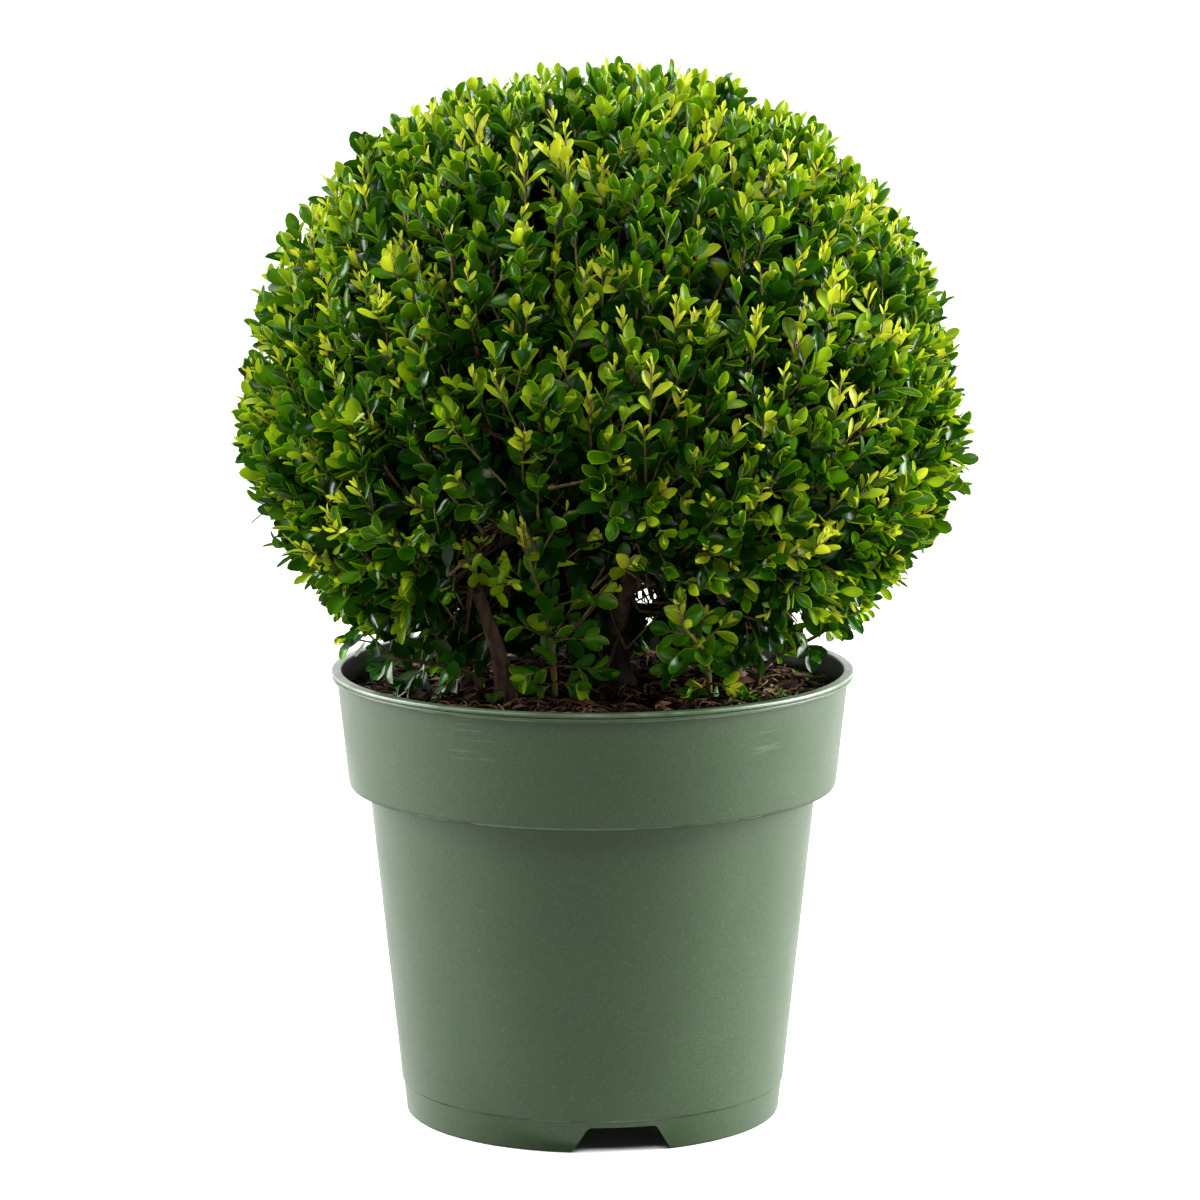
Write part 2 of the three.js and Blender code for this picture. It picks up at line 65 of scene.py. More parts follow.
POT_HEIGHT = 241.0
POT_WALL = 2.4
LIP_RADIUS = 140.0
LIP_HEIGHT = 4.6
COLLAR_TOP_RADIUS = 137.0
COLLAR_BOTTOM_RADIUS = 131.0
COLLAR_HEIGHT = 63.0
BODY_TOP_RADIUS = 120.6
FOOT_RADIUS = 101.5
FOOT_INSET = 0.8
FOOT_HEIGHT = 16.6
NOTCH_COUNT = 3
NOTCH_TURN = 9.0
NOTCH_HEIGHT = 13.6
NOTCH_TOP_WIDTH = 36.0
NOTCH_BOTTOM_WIDTH = 52.0
NOTCH_DEPTH = 20.0
DRAIN_HOLE_RADIUS = 8.0
DRAIN_HOLE_PLACE = 80.0

SOIL_TOP = POT_HEIGHT - 11.0
SOIL_EDGE_DROP = 3.0
GROUND = SOIL_TOP + CLEAR
COLLAR_BOTTOM = POT_HEIGHT - COLLAR_HEIGHT
LIP_BOTTOM = POT_HEIGHT - LIP_HEIGHT

TRUNK_FOOT = (8.0, 14.0)
TRUNK_LEAN = (7.0, 4.0)
TRUNK_HEIGHT = 58.0
TRUNK_RADIUS = 10.0
TRUNK_TIP_RADIUS = 0.8 * TRUNK_RADIUS
TRUNK_FLARE = 7.0
STEM_RADIUS = 4.6
STEM_TIP_RADIUS = 3.2
STEM_FLARE = 2.6
STEM_SHOWN = 7.0
BOUGH_RADIUS = 5.4
BOUGH_TIP_RADIUS = 3.2
# Each stem's place on the mix, each bough's fork as a share of the trunk, and the masses that they carry
STEMS = {"left_stem": ((-46.0, -38.0), "crown_front_left"), "right_stem": ((76.0, 16.0), "crown_right")}
BOUGHS = {
    "front_bough": (0.46, "crown_front"),
    "back_left_bough": (0.54, "crown_back_left"),
    "back_bough": (0.62, "crown_back"),
}

CROWN_MIDDLE = np.array([2.5, 0.0, 374.0])
CROWN_RADIUS = 196.0
CROWN_DEPTH_BELOW = 143.0
SKIRT_HEIGHT = 262.0
SKIRT_FRONT_LIFT = 38.0
CORE_MIDDLE = 0.55
CORE_REACH = 0.86
CORE_FLOOR = 302.0
CORE_SEAM = 1.5
CORE_STEP = 0.5
HOLLOW_RADIUS = 56.0
# The masses' directions, in degrees round from the front
MASSES = {
    "crown_front_left": -50,
    "crown_front": 22,
    "crown_right": 94,
    "crown_back": 166,
    "crown_back_left": 238,
    "crown_top": None,
}
MASS_NAMES = list(MASSES)

# Points round the pot, the mix and the limbs, and along the limbs and shoots
POT_SEGMENTS = 192
SOIL_SEGMENTS = 160
SOIL_RINGS = 52
HOLE_SIDES = 32
TRUNK_SIDES = 28
LIMB_SIDES = 20
LIMB_RINGS = 40
TWIG_RINGS = 5
FIBRE_RINGS = 8
SHOOT_RINGS = 17

rng = np.random.default_rng(20)


# Arrays


def norm(v):
    return np.linalg.norm(v, axis=-1, keepdims=True)


def unit(v):
    return v / norm(v)


def dot(a, b):
    return np.sum(a * b, axis=-1, keepdims=True)


def lerp(a, b, t):
    return a + (b - a) * t


def smoothstep(low, high, value):
    t = np.clip((value - low) / (high - low), 0, 1)
    return t * t * (3 - 2 * t)


def square_to(v):
    """A unit vector square to each of these."""
    helper = np.where(np.abs(v[..., 2:3]) < 0.9, UP, np.array([1.0, 0.0, 0.0]))
    return unit(np.cross(helper, v))


def turned(v, axis, angle):
    cosine, sine = np.cos(angle)[..., None], np.sin(angle)[..., None]
    return v * cosine + np.cross(axis, v) * sine + axis * dot(axis, v) * (1 - cosine)


def even_turns(count):
    return 2 * math.pi * np.arange(count) / count


def random_turns(count):
    return 2 * math.pi * rng.random(count)


def around_z(radius, turn, z):
    """Places round the Z axis."""
    return np.stack(np.broadcast_arrays(radius * np.cos(turn), radius * np.sin(turn), z), axis=-1)


def around_from_front(degrees):
    turn = math.radians(degrees)
    return np.array([math.sin(turn), -math.cos(turn), 0.0])


def curve(a, b, c, t):
    """Places on a path from a to c that b pulls aside."""
    return a * (1 - t) ** 2 + 2 * b * t * (1 - t) + c * t**2


def curves(a, b, c, t):
    """Places on many such paths: one row a path, one column a value of t."""
    return curve(a[:, None], b[:, None], c[:, None], t[:, None])


def bend(foot, leave, tip, arrive, count):
    """A path that leaves its foot in one direction and arrives at its tip in another."""
    pull = norm(tip - foot) / 3
    first, second = foot + leave * pull, tip - arrive * pull
    t = np.linspace(0, 1, count)[:, None]
    ends = foot * (1 - t) ** 3 + tip * t**3
    return ends + 3 * first * t * (1 - t) ** 2 + 3 * second * t**2 * (1 - t)


def even_directions(count, jitter):
    """Directions spread evenly over a sphere, then shaken."""
    i = np.arange(count)
    z = 1 - (2 * i + 1) / count
    even = around_z(np.sqrt(1 - z * z), math.pi * (3 - math.sqrt(5)) * i, z)
    spacing = math.sqrt(4 * math.pi / count)
    return unit(even + rng.normal(0, jitter * spacing, even.shape))


def in_frames(origin, along, face, local):
    """Places given along, across and above each frame, one row a frame."""
    edge = np.cross(face, along)
    a, b, c = (local[..., k, None] for k in range(3))
    return origin[:, None] + along[:, None] * a + edge[:, None] * b + face[:, None] * c


def walls_of(index):
    """Faces between each ring of points and the next."""
    low, high = index[..., :-1, :], index[..., 1:, :]
    return np.stack([low, np.roll(low, -1, -1), np.roll(high, -1, -1), high], axis=-1).reshape(-1, 4)


def tubes(paths, radii, sides):
    """Closed round tubes along paths, one row a path."""
    way = unit(np.gradient(paths, axis=1))
    aside = square_to(unit(way.mean(axis=1)))[:, None]
    first = unit(aside - dot(aside, way) * way)
    second = np.cross(way, first)
    turn = even_turns(sides)[:, None]
    around = first[:, :, None] * np.cos(turn) + second[:, :, None] * np.sin(turn)
    verts = paths[:, :, None] + around * radii[:, :, None, None]
    index = np.arange(radii.size * sides).reshape(*radii.shape, sides)
    return verts.reshape(-1, 3), [walls_of(index), index[:, 0, ::-1], index[:, -1]]


# A leaf's outline: places along its side, with half widths there
SIDE_AT = np.array([0.14, 0.35, 0.58, 0.80, 0.94])
SIDE_OUT = np.array([0.32, 0.78, 1.0, 0.80, 0.42])
BLADE_MIDDLE = 0.55
# What the margin, painted paler as a highlight, leaves of the blade's width, length and tip, and how far it
# is lifted
BLADE_SHARES = (0.91, 0.94, 0.92)
MARGIN_LIFT = 0.05


def leaf_sides(first, last):
    """The points along a leaf's two sides, from its foot to its tip."""
    count = len(SIDE_AT)
    return [[0, *range(start, start + count), last] for start in (first, first + count)]


def strips(nears, fars):
    """The triangles between a nearer and a farther line of points on each of a leaf's two sides."""
    faces = []
    for near, far, flip in zip(nears, fars, (-1, 1)):
        for a, b, c, d in zip(near, near[1:], far, far[1:]):
            faces += [face[::flip] for face in ((a, c, d), (a, d, b)) if len(set(face)) == 3]
    return np.array(faces)


class LeafShape:
    """A leaf's points, the triangles of its blade, and those of the margin round it that is painted paler as
    a highlight, if it has one.
    """

    def __init__(self, edged):
        wide, long, tip = BLADE_SHARES if edged else (1.0, 1.0, 1.0)
        at, out = lerp(BLADE_MIDDLE, SIDE_AT, long), SIDE_OUT * wide
        x = [0.0, BLADE_MIDDLE, lerp(BLADE_MIDDLE, 1.0, tip), *at, *at]
        y = [0.0, 0.0, 0.0, *out, *-out]
        first = len(x)
        inner = leaf_sides(3, 2)
        middle = [1] * len(inner[0])
        self.groups = [strips([middle, middle], inner)]
        if edged:
            x += [*SIDE_AT, *SIDE_AT, 1.0]
            y += [*SIDE_OUT, *-SIDE_OUT, 0.0]
            self.groups.append(strips(inner, leaf_sides(first, len(x) - 1)))
        self.x, self.y = np.array(x), np.array(y)
        self.rim = np.arange(len(x)) >= first


EDGED_LEAF, PLAIN_LEAF = LeafShape(True), LeafShape(False)


def blades(shape, root, along, face, length, width, fold, curl):
    """Leaves folded up along the rib and curled towards the tip: places, then faces by group."""
    out = length[:, None] * shape.x
    aside = 0.5 * width[:, None] * shape.y
    lift = fold[:, None] * np.abs(aside) - curl[:, None] * length[:, None] * shape.x**2
    lift += MARGIN_LIFT * width[:, None] * shape.rim
    verts = in_frames(root, along, face, np.stack([out, aside, lift], axis=-1))
    first = (np.arange(len(root)) * len(shape.x))[:, None, None]
    return verts.reshape(-1, 3), [(group + first).reshape(-1, 3) for group in shape.groups]


def in_scene(name, data):
    thing = bpy.data.objects.new(name, data)
    bpy.context.scene.collection.objects.link(thing)
    return thing


class Parts:
    """Faces gathered for one piece, each with the number of its material."""

    def __init__(self):
        self.verts, self.faces, self.numbers, self.total = [], [], [], 0

    def add(self, verts, groups, numbers=repeat(0)):
        """Adds groups of faces, with one number or one for each face in each group."""
        for faces, number in zip(groups, numbers):
            self.faces.append(faces + self.total)
            self.numbers.append(np.broadcast_to(number, len(faces)))
        self.verts.append(verts)
        self.total += len(verts)

    def piece(self, name, materials, slot, nodes, smooth=True):
        verts = np.concatenate(self.verts) * MM
        sizes = np.concatenate([np.full(len(f), f.shape[1]) for f in self.faces])
        corners = np.concatenate([f.ravel() for f in self.faces])
        mesh = bpy.data.meshes.new(name)
        mesh.vertices.add(len(verts))
        mesh.loops.add(len(corners))
        mesh.polygons.add(len(sizes))
        mesh.vertices.foreach_set("co", verts.astype(np.float32).ravel())
        mesh.loops.foreach_set("vertex_index", corners.astype(np.int32))
        mesh.polygons.foreach_set("loop_start", (np.cumsum(sizes) - sizes).astype(np.int32))
        mesh.polygons.foreach_set("material_index", np.concatenate(self.numbers).astype(np.int32))
        mesh.polygons.foreach_set("use_smooth", np.full(len(sizes), smooth))
        mesh.update(calc_edges=True)
        mesh.validate()
        for material in materials:
            mesh.materials.append(material)
        piece = in_scene(name, mesh)
        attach(piece, "root")
        if nodes:
            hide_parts(*nodes)
        return piece


# Materials


class Nodes:
    """A node tree, with short ways to add nodes to it."""

    def __init__(self, tree):
        self.nodes, self.links = tree.nodes, tree.links

    def feed(self, source, socket):
        if isinstance(source, bpy.types.NodeSocket):
            self.links.new(source, socket)
        else:
            socket.default_value = source

    def add(self, kind, sources=None, **values):
        node = self.nodes.new("ShaderNode" + kind)
        for key, value in values.items():
            setattr(node, key, value)
        for socket, source in (sources or {}).items():
            self.feed(source, node.inputs[socket])
        return node

    def math(self, operation, a, b):
        return self.add("Math", {0: a, 1: b}, operation=operation).outputs[0]

    def times(self, a, b):
        return self.math("MULTIPLY", a, b)

    def step(self, value, low, high, below, above):
        """A smooth step from one level to another."""
        sources = {"Value": value, "From Min": low, "From Max": high, "To Min": below, "To Max": above}
        return self.add("MapRange", sources, interpolation_type="SMOOTHSTEP").outputs["Result"]


class Shader(Nodes):
    """A material with a Principled surface."""

    def __init__(self, name, **values):
        self.material = bpy.data.materials.new(name)
        self.material.use_nodes = True
        super().__init__(self.material.node_tree)
        self.surface = self.nodes["Principled BSDF"]
        for key, value in values.items():
            self.set(key.replace("_", " "), value)

    def set(self, socket, source):
        self.feed(source, self.surface.inputs[socket])

    def place(self):
        """The place on the object, in metres."""
        return self.add("TexCoord").outputs["Object"]

    def noise(self, scale, detail, stretch=(1.0, 1.0, 1.0), roughness=0.55):
        place = self.add("Mapping", {"Vector": self.place(), "Scale": stretch}).outputs["Vector"]
        sources = {"Vector": place, "Scale": scale, "Detail": detail, "Roughness": roughness}
        return self.add("TexNoise", sources).outputs["Fac"]

    def ramp(self, value, *stops):
        """A ramp between two stops, each a position and a colour or a level."""
        node = self.add("ValToRGB", {"Fac": value})
        for element, (position, colour) in zip(node.color_ramp.elements, stops):
            element.position = position
            element.color = (*np.broadcast_to(colour, 3), 1.0)
        return node.outputs["Color"]

    def mix(self, share, a, b, blend="MIX"):
        sources = {"Factor": share, 6: a, 7: b}
        return self.add("Mix", sources, data_type="RGBA", blend_type=blend).outputs[2]

    def fade(self, distance, reach):
        """One at no distance, and nothing beyond this reach in millimetres."""
        share = self.times(distance, 1 / (reach * MM))
        return self.math("MAXIMUM", self.math("SUBTRACT", 1.0, share), 0.0)

    def bump(self, height, strength, distance):
        node = self.add("Bump", {"Height": height, "Strength": strength, "Distance": distance})
        self.set("Normal", node.outputs["Normal"])


# Pale edges of the pot, partly wear and partly painted highlight: their heights, and how far the pale reaches
WORN_AND_HIGHLIT_EDGES = [
    (FOOT_HEIGHT + 0.5 * FOOT_INSET, 0.7),
    (COLLAR_BOTTOM + 1.0, 0.8),
    (LIP_BOTTOM + 0.4, 0.6),
    (POT_HEIGHT - 0.6, 0.9),
]
# Patches of scratches on the pot, in millimetres: middle and radius
SCRATCHED = [((88.0, -100.0, 219.0), 17.0), ((-62.0, -119.0, 222.0), 20.0), ((-30.0, -117.0, 60.0), 16.0)]
SPECK_COLOUR = (0.30, 0.36, 0.27, 1)
# Pale colour of scratches and worn edges, and of painted highlights along the edges
WORN_AND_HIGHLIGHT_COLOUR = (0.26, 0.34, 0.23, 1)
# Colour of the painted shade on the pot's inside wall
PAINTED_SHADE_COLOUR = (0.018, 0.020, 0.012, 1)


def pot_plastic(name, dark, light, painted_inner_shade=0.0):
    """Grained plastic with specks, scratches, pale edges that are partly wear and partly painted highlight,
    and, on the inside wall, dull dark smears of painted shade.
    """
    shader = Shader(name)
    tone = shader.ramp(shader.noise(9.0, 3.0), (0.3, dark), (0.7, light))
    grain = shader.ramp(shader.noise(520.0, 3.0), (0.35, 0.80), (0.65, 1.0))
    tone = shader.mix(1.0, tone, grain, "MULTIPLY")
    specks = shader.ramp(shader.noise(620.0, 1.0), (0.70, 0.0), (0.74, 1.0))
    tone = shader.mix(shader.times(specks, 0.10), tone, SPECK_COLOUR)
    place = shader.place()
    height = shader.add("SeparateXYZ", {0: place}).outputs["Z"]
    scratches = shader.ramp(shader.noise(70.0, 2.0, (0.5, 0.5, 7.0), 0.4), (0.60, 0.0), (0.64, 1.0))
    wear_and_highlight = 0.0
    for middle, radius in SCRATCHED:
        away = shader.add("VectorMath", {0: place, 1: np.array(middle) * MM}, operation="DISTANCE")
        near = shader.fade(away.outputs["Value"], radius)
        wear_and_highlight = shader.math("MAXIMUM", wear_and_highlight, shader.times(near, scratches))
    wear_and_highlight = shader.times(wear_and_highlight, 0.30)
    broken = shader.ramp(shader.noise(55.0, 3.0), (0.36, 0.05), (0.62, 1.0))
    # Pale lines along the edges: partly wear, partly painted highlight where rounded edges catch light
    for edge, reach in WORN_AND_HIGHLIT_EDGES:
        away = shader.math("ABSOLUTE", shader.math("SUBTRACT", height, edge * MM), 0.0)
        wear_and_highlight = shader.math("MAXIMUM", wear_and_highlight, shader.times(shader.fade(away, reach), broken))
    tone = shader.mix(shader.times(wear_and_highlight, 0.55), tone, WORN_AND_HIGHLIGHT_COLOUR)
    # Dull dark smears of painted shade on the inside wall, for the shade that the crown casts into the pot
    if painted_inner_shade:
        inner_shade_smears = shader.ramp(shader.noise(40.0, 5.0), (0.30, painted_inner_shade), (0.70, 0.35 * painted_inner_shade))
        tone = shader.mix(inner_shade_smears, tone, PAINTED_SHADE_COLOUR)
        shader.set("Specular IOR Level", 0.15)
    shader.set("Base Color", tone)
    shader.set("Roughness", shader.ramp(shader.noise(30.0, 4.0), (0.3, 0.35), (0.7, 0.46)))
    shader.bump(shader.noise(1100.0, 3.0), 0.30, 0.0003)
    return shader.material


def bark(name, dark, light, scale=1.0):
    shader = Shader(name, Roughness=0.85, Specular_IOR_Level=0.2)
    grain = shader.noise(260.0 * scale, 5.0, (1.0, 1.0, 0.28))
    shader.set("Base Color", shader.ramp(grain, (0.32, dark), (0.68, light)))
    shader.bump(grain, 0.6, 0.0012)
    return shader.material


def leaf(name, colour, glow, share, roughness, gloss, painted_light=1.0):
    """Glossy leaf: a plain base colour, with light from behind showing through. The last argument, above 1,
    brightens the base colour as painted light.
    """
    bright = (*(1 - (1 - c) ** painted_light for c in colour), 1)
    shader = Shader(name, Base_Color=bright, Roughness=roughness, Specular_IOR_Level=gloss)
    through = shader.add("BsdfTranslucent", {"Color": (*glow, 1)}).outputs["BSDF"]
    both = shader.add("MixShader", {"Fac": share, 1: shader.surface.outputs["BSDF"], 2: through})
    shader.feed(both.outputs["Shader"], shader.nodes["Material Output"].inputs["Surface"])
    return shader.material


def plain(name, dark, light, scale=300.0, roughness=0.9, relief=0.5):
    shader = Shader(name, Roughness=roughness, Specular_IOR_Level=0.12)
    grain = shader.noise(scale, 4.0)
    shader.set("Base Color", shader.ramp(grain, (0.3, dark), (0.7, light)))
    shader.bump(grain, relief, 0.001)
    return shader.material


POT = pot_plastic("pot_plastic", (0.035, 0.065, 0.026), (0.041, 0.076, 0.031))
# The inside wall: the same plastic, darkened by smears of painted shade
POT_INSIDE = pot_plastic("pot_inside", (0.044, 0.079, 0.034), (0.053, 0.092, 0.040), 0.60)
BARK = bark("bark", (0.036, 0.022, 0.014), (0.140, 0.090, 0.058))
# The trunk's bark, much darker than the stems', as painted shade under the crown
TRUNK_BARK_PAINTED_SHADE = bark("trunk_bark_painted_shade", (0.006, 0.004, 0.003), (0.026, 0.016, 0.011))
TWIG_BARK = bark("twig_bark", (0.036, 0.023, 0.011), (0.120, 0.078, 0.038), 2.0)
SHOOT_BARK = bark("shoot_bark", (0.085, 0.078, 0.018), (0.200, 0.158, 0.046), 2.0)
# Leaves from the oldest to the youngest, the oldest also serving as painted shade: base colour, light through
# them, its share, roughness and gloss
LEAF_LOOKS = {
    "deep": ((0.0030, 0.0215, 0.0006), (0.014, 0.06, 0.001), 0.10, 0.25, 0.19),
    "dark": ((0.0072, 0.0490, 0.0008), (0.030, 0.12, 0.002), 0.16, 0.24, 0.23),
    "mid": ((0.0315, 0.1160, 0.0015), (0.095, 0.235, 0.003), 0.20, 0.25, 0.23),
    "light": ((0.152, 0.270, 0.005), (0.30, 0.445, 0.006), 0.24, 0.32, 0.24),
    "young": ((0.292, 0.412, 0.013), (0.42, 0.535, 0.012), 0.28, 0.36, 0.32),
    "tip": ((0.470, 0.525, 0.024), (0.55, 0.605, 0.020), 0.30, 0.38, 0.40),
}
# Roughness, gloss and painted light of leaves low down, whose colours are brightened for light they lack
LOW_LOOK = (0.38, 0.34, 2.5)
LEAVES = [leaf("leaf_" + name, *look) for name, look in LEAF_LOOKS.items()]
# Copies of the leaf colours brightened as painted light, for the low shoots and the tuft
LOW_LEAVES_PAINTED_LIGHT = [leaf("low_leaf_painted_light_" + name, *look[:3], *LOW_LOOK) for name, look in LEAF_LOOKS.items()]
SOIL = plain("soil", (0.0045, 0.0024, 0.0013), (0.017, 0.0095, 0.0055), 420.0, 0.95, 0.8)
CHIPS = [
    plain("chip_dark", (0.006, 0.003, 0.0016), (0.020, 0.011, 0.006)),
    plain("chip_brown", (0.013, 0.0066, 0.003), (0.041, 0.022, 0.012)),
    plain("chip_red", (0.044, 0.019, 0.010), (0.125, 0.062, 0.034)),
    plain("chip_pale", (0.110, 0.062, 0.034), (0.260, 0.160, 0.098)),
]
DRY_LEAF = plain("dry_leaf", (0.150, 0.075, 0.045), (0.340, 0.200, 0.140), 240.0, 0.7, 0.3)
MOSS = plain("moss", (0.030, 0.090, 0.008), (0.120, 0.240, 0.018), 500.0, 0.9, 0.3)


# Camera: the photo's 1200 x 1200 frame

IMAGE = 1200.0
FOCAL_PX = 5120.0
CAMERA_PITCH = math.radians(9.3)
CAMERA_AT = np.array([4.0, -2704.0, 720.0])
CAMERA_WAY = np.array([0.0, math.cos(CAMERA_PITCH), -math.sin(CAMERA_PITCH)])
CAMERA_UP = np.array([0.0, math.sin(CAMERA_PITCH), math.cos(CAMERA_PITCH)])


def pixel_way(column, row):
    """The direction in which a pixel of the photo looks."""
    right, lift = (column - IMAGE / 2) / FOCAL_PX, (IMAGE / 2 - row) / FOCAL_PX
    return CAMERA_WAY + CAMERA_UP * lift + np.array([right, 0.0, 0.0])


def on_soil(column, row):
    """The place on the potting mix that a pixel of the photo shows."""
    way = pixel_way(column, row)
    return CAMERA_AT + way * (SOIL_TOP - CAMERA_AT[2]) / way[2]


def at_depth(column, row, y):
    """The place that a pixel of the photo shows, at this distance towards the back."""
    way = pixel_way(column, row)
    return CAMERA_AT + way * (y - CAMERA_AT[1]) / way[1]


def pixels_of(places):
    """Where these places show in the photo: columns and rows."""
    away = places - CAMERA_AT
    far = away @ CAMERA_WAY
    return IMAGE / 2 + FOCAL_PX * away[..., 0] / far, IMAGE / 2 - FOCAL_PX * (away @ CAMERA_UP) / far


def make_camera():
    camera = bpy.data.cameras.new("photo_camera")
    camera.sensor_width = 36.0
    camera.lens = FOCAL_PX / IMAGE * camera.sensor_width
    camera.clip_start, camera.clip_end = 0.1, 100.0
    holder = in_scene("photo_camera", camera)
    holder.location = CAMERA_AT * MM
    holder.rotation_euler = (math.pi / 2 - CAMERA_PITCH, 0, 0)
    bpy.context.scene.camera = holder


# Pot

ON_AXIS = 0.01
SHARP_ANGLE = math.radians(32)


def body_radius(z):
    return lerp(FOOT_RADIUS, BODY_TOP_RADIUS, z / COLLAR_BOTTOM)


def collar_radius(z):
    share = (z - COLLAR_BOTTOM) / (LIP_BOTTOM - COLLAR_BOTTOM)
    return lerp(COLLAR_BOTTOM_RADIUS, COLLAR_TOP_RADIUS, share)


def rounded(corners, steps=4):
    """A profile whose corners, each (radius, height, rounding), are replaced with small curves."""
    points = []
    for i, (r, z, size) in enumerate(corners):
        here = np.array([r, z])
        if not size:
            points.append(here)
            continue
        before, after = (here + unit(np.array(corners[i + k][:2]) - here) * size for k in (-1, 1))
        points += [curve(before, here, after, t) for t in np.linspace(0, 1, steps + 1)]
    return np.array(points)


def lathe(profile, segments):
    """Walls turned round the Z axis."""
    verts = around_z(profile[:, :1], even_turns(segments), profile[:, 1:])
    index = np.arange(len(profile) * segments).reshape(-1, segments)
    return verts.reshape(-1, 3), walls_of(index)


def pot_profile():
    wall, base = POT_WALL, FOOT_HEIGHT + POT_WALL
    foot_inside = body_radius(0) - FOOT_INSET - wall
    ledge = COLLAR_BOTTOM + wall
    lip_inside = collar_radius(LIP_BOTTOM) - wall
    groove = POT_HEIGHT - 2.5
    return rounded(
        [
            (ON_AXIS, FOOT_HEIGHT, 0),
            (foot_inside, FOOT_HEIGHT, 1.0),
            (foot_inside, 0, 0.5),
            (body_radius(0) - FOOT_INSET, 0, 0.7),
            (body_radius(FOOT_HEIGHT) - FOOT_INSET, FOOT_HEIGHT, 0.3),
            (body_radius(FOOT_HEIGHT), FOOT_HEIGHT + FOOT_INSET, 0.4),
            (body_radius(COLLAR_BOTTOM) - 0.4, COLLAR_BOTTOM + 0.4, 2.0),
            (collar_radius(COLLAR_BOTTOM) - 0.3, COLLAR_BOTTOM, 2.6),
            (collar_radius(LIP_BOTTOM), LIP_BOTTOM, 0.7),
            (LIP_RADIUS - 0.5, LIP_BOTTOM, 0.7),
            (LIP_RADIUS - 0.2, groove - 0.5, 0.3),
            (LIP_RADIUS - 1.0, groove, 0.3),
            (LIP_RADIUS, groove + 0.5, 0.3),
            (LIP_RADIUS - 0.1, POT_HEIGHT, 0.9),
            (lip_inside, POT_HEIGHT, 0.9),
            (lip_inside - 0.2, LIP_BOTTOM - 1.0, 0.5),
            (collar_radius(ledge) - wall, ledge, 1.2),
            (body_radius(ledge) - wall, ledge, 1.2),
            (body_radius(base) - wall, base, 1.2),
            (ON_AXIS, base, 0),
        ]
    )


def prism(ring, push, sign):
    """A closed block on both sides of a ring of places; sign says which way the ring runs."""
    index = np.arange(2 * len(ring)).reshape(2, -1)
    verts = np.concatenate([ring - push / 2, ring + push / 2])
    return verts, [walls_of(index)[:, ::sign], index[:1, ::-sign], index[1:, ::sign]]


def cutters():
    """The notches in the foot ring, with rounded upper corners, and the drain holes."""
    low, high = NOTCH_BOTTOM_WIDTH / 2 + 1.2, NOTCH_TOP_WIDTH / 2
    left, right = (-low, -1.5, 0), (low, -1.5, 0)
    notch = rounded([left, right, (high, NOTCH_HEIGHT, 2.2), (-high, NOTCH_HEIGHT, 2.2), left])[:-1]
    hole = around_z(DRAIN_HOLE_RADIUS, even_turns(HOLE_SIDES), FOOT_HEIGHT + POT_WALL / 2)
    parts = Parts()
    for i in range(NOTCH_COUNT):
        out = around_from_front(NOTCH_TURN + i * 360 / NOTCH_COUNT)
        across = np.cross(UP, out)
        ring = notch @ np.array([across, UP]) + out * FOOT_RADIUS
        parts.add(*prism(ring, out * NOTCH_DEPTH, 1))
        ring = hole @ np.array([across, out, UP]) + out * DRAIN_HOLE_PLACE
        parts.add(*prism(ring, UP * FOOT_HEIGHT, -1))
    return parts


def make_pot():
    profile = pot_profile()
    verts, walls = lathe(profile, POT_SEGMENTS)
    inward = np.argmax(profile[:, 1] * 1000 - profile[:, 0])
    inside = np.arange(len(profile) - 1) > inward
    parts = Parts()
    parts.add(verts, [walls], [np.repeat(inside.astype(int), POT_SEGMENTS)])
    piece = parts.piece("pot_shell", [POT, POT_INSIDE], "pot_plastic", ["pot"])
    cutter_piece = cutters().piece("pot_cutter", [], "pot_plastic", [])
    cut = piece.modifiers.new("notches", "BOOLEAN")
    cut.object = cutter_piece
    cut.solver = "EXACT"
    graph = bpy.context.evaluated_depsgraph_get()
    mesh = bpy.data.meshes.new_from_object(piece.evaluated_get(graph))
    piece.modifiers.clear()
    piece.data = mesh
    bpy.data.objects.remove(cutter_piece)
    mesh.polygons.foreach_set("use_smooth", np.full(len(mesh.polygons), True))
    mesh.set_sharp_from_angle(angle=SHARP_ANGLE)


# Potting mix, with places of dry leaves, of moss and of seedlings in the photo's frame

SOIL_EDGE = collar_radius(SOIL_TOP) - POT_WALL
SOIL_EDGE_WIDTH = 26.0
SOIL_FLOOR = SOIL_TOP - 24
CHIP_COUNT = 2400
CHIP_SHARES = [0.56, 0.27, 0.13, 0.04]
FIBRE_COUNT = 720
FIBRE_EDGE = 124.0
DRY_LEAF_SPOTS = [(462, 704), (478, 707), (800, 681), (655, 712), (512, 712), (770, 690), (430, 690)]
DRY_LEAF_SPOTS += [(835, 668), (700, 712), (598, 708)]
DRY_LEAF_COUNT = 26
DRY_LEAF_EDGE = 122.0
DRY_LEAF_LIFT = 1.6
# Column, row, leaves, their spread across and in depth, and their shortest and longest
MOSS_SPOTS = [(762, 699, 120, (8.4, 6.0), (3.0, 5.5)), (827, 677, 70, (8.4, 6.0), (3.0, 5.5))]
MOSS_SPOTS += [(748, 704, 40, (5.6, 4.0), (3.0, 5.5))]
SEEDLING_SPOTS = [(481, 690, 6, (1.6, 1.6), (5.0, 8.0)), (494, 705, 6, (1.6, 1.6), (5.0, 8.0))]
MOSS_EDGE = 129.0


def soil_height(x, y):
    far = smoothstep(SOIL_EDGE - SOIL_EDGE_WIDTH, SOIL_EDGE, np.hypot(x, y))
    lumps = noise.fractal(Vector((x * 0.045, y * 0.045, 3.0)), 0.9, 2.1, 4)
    return SOIL_TOP - SOIL_EDGE_DROP * far + 2.2 * lumps


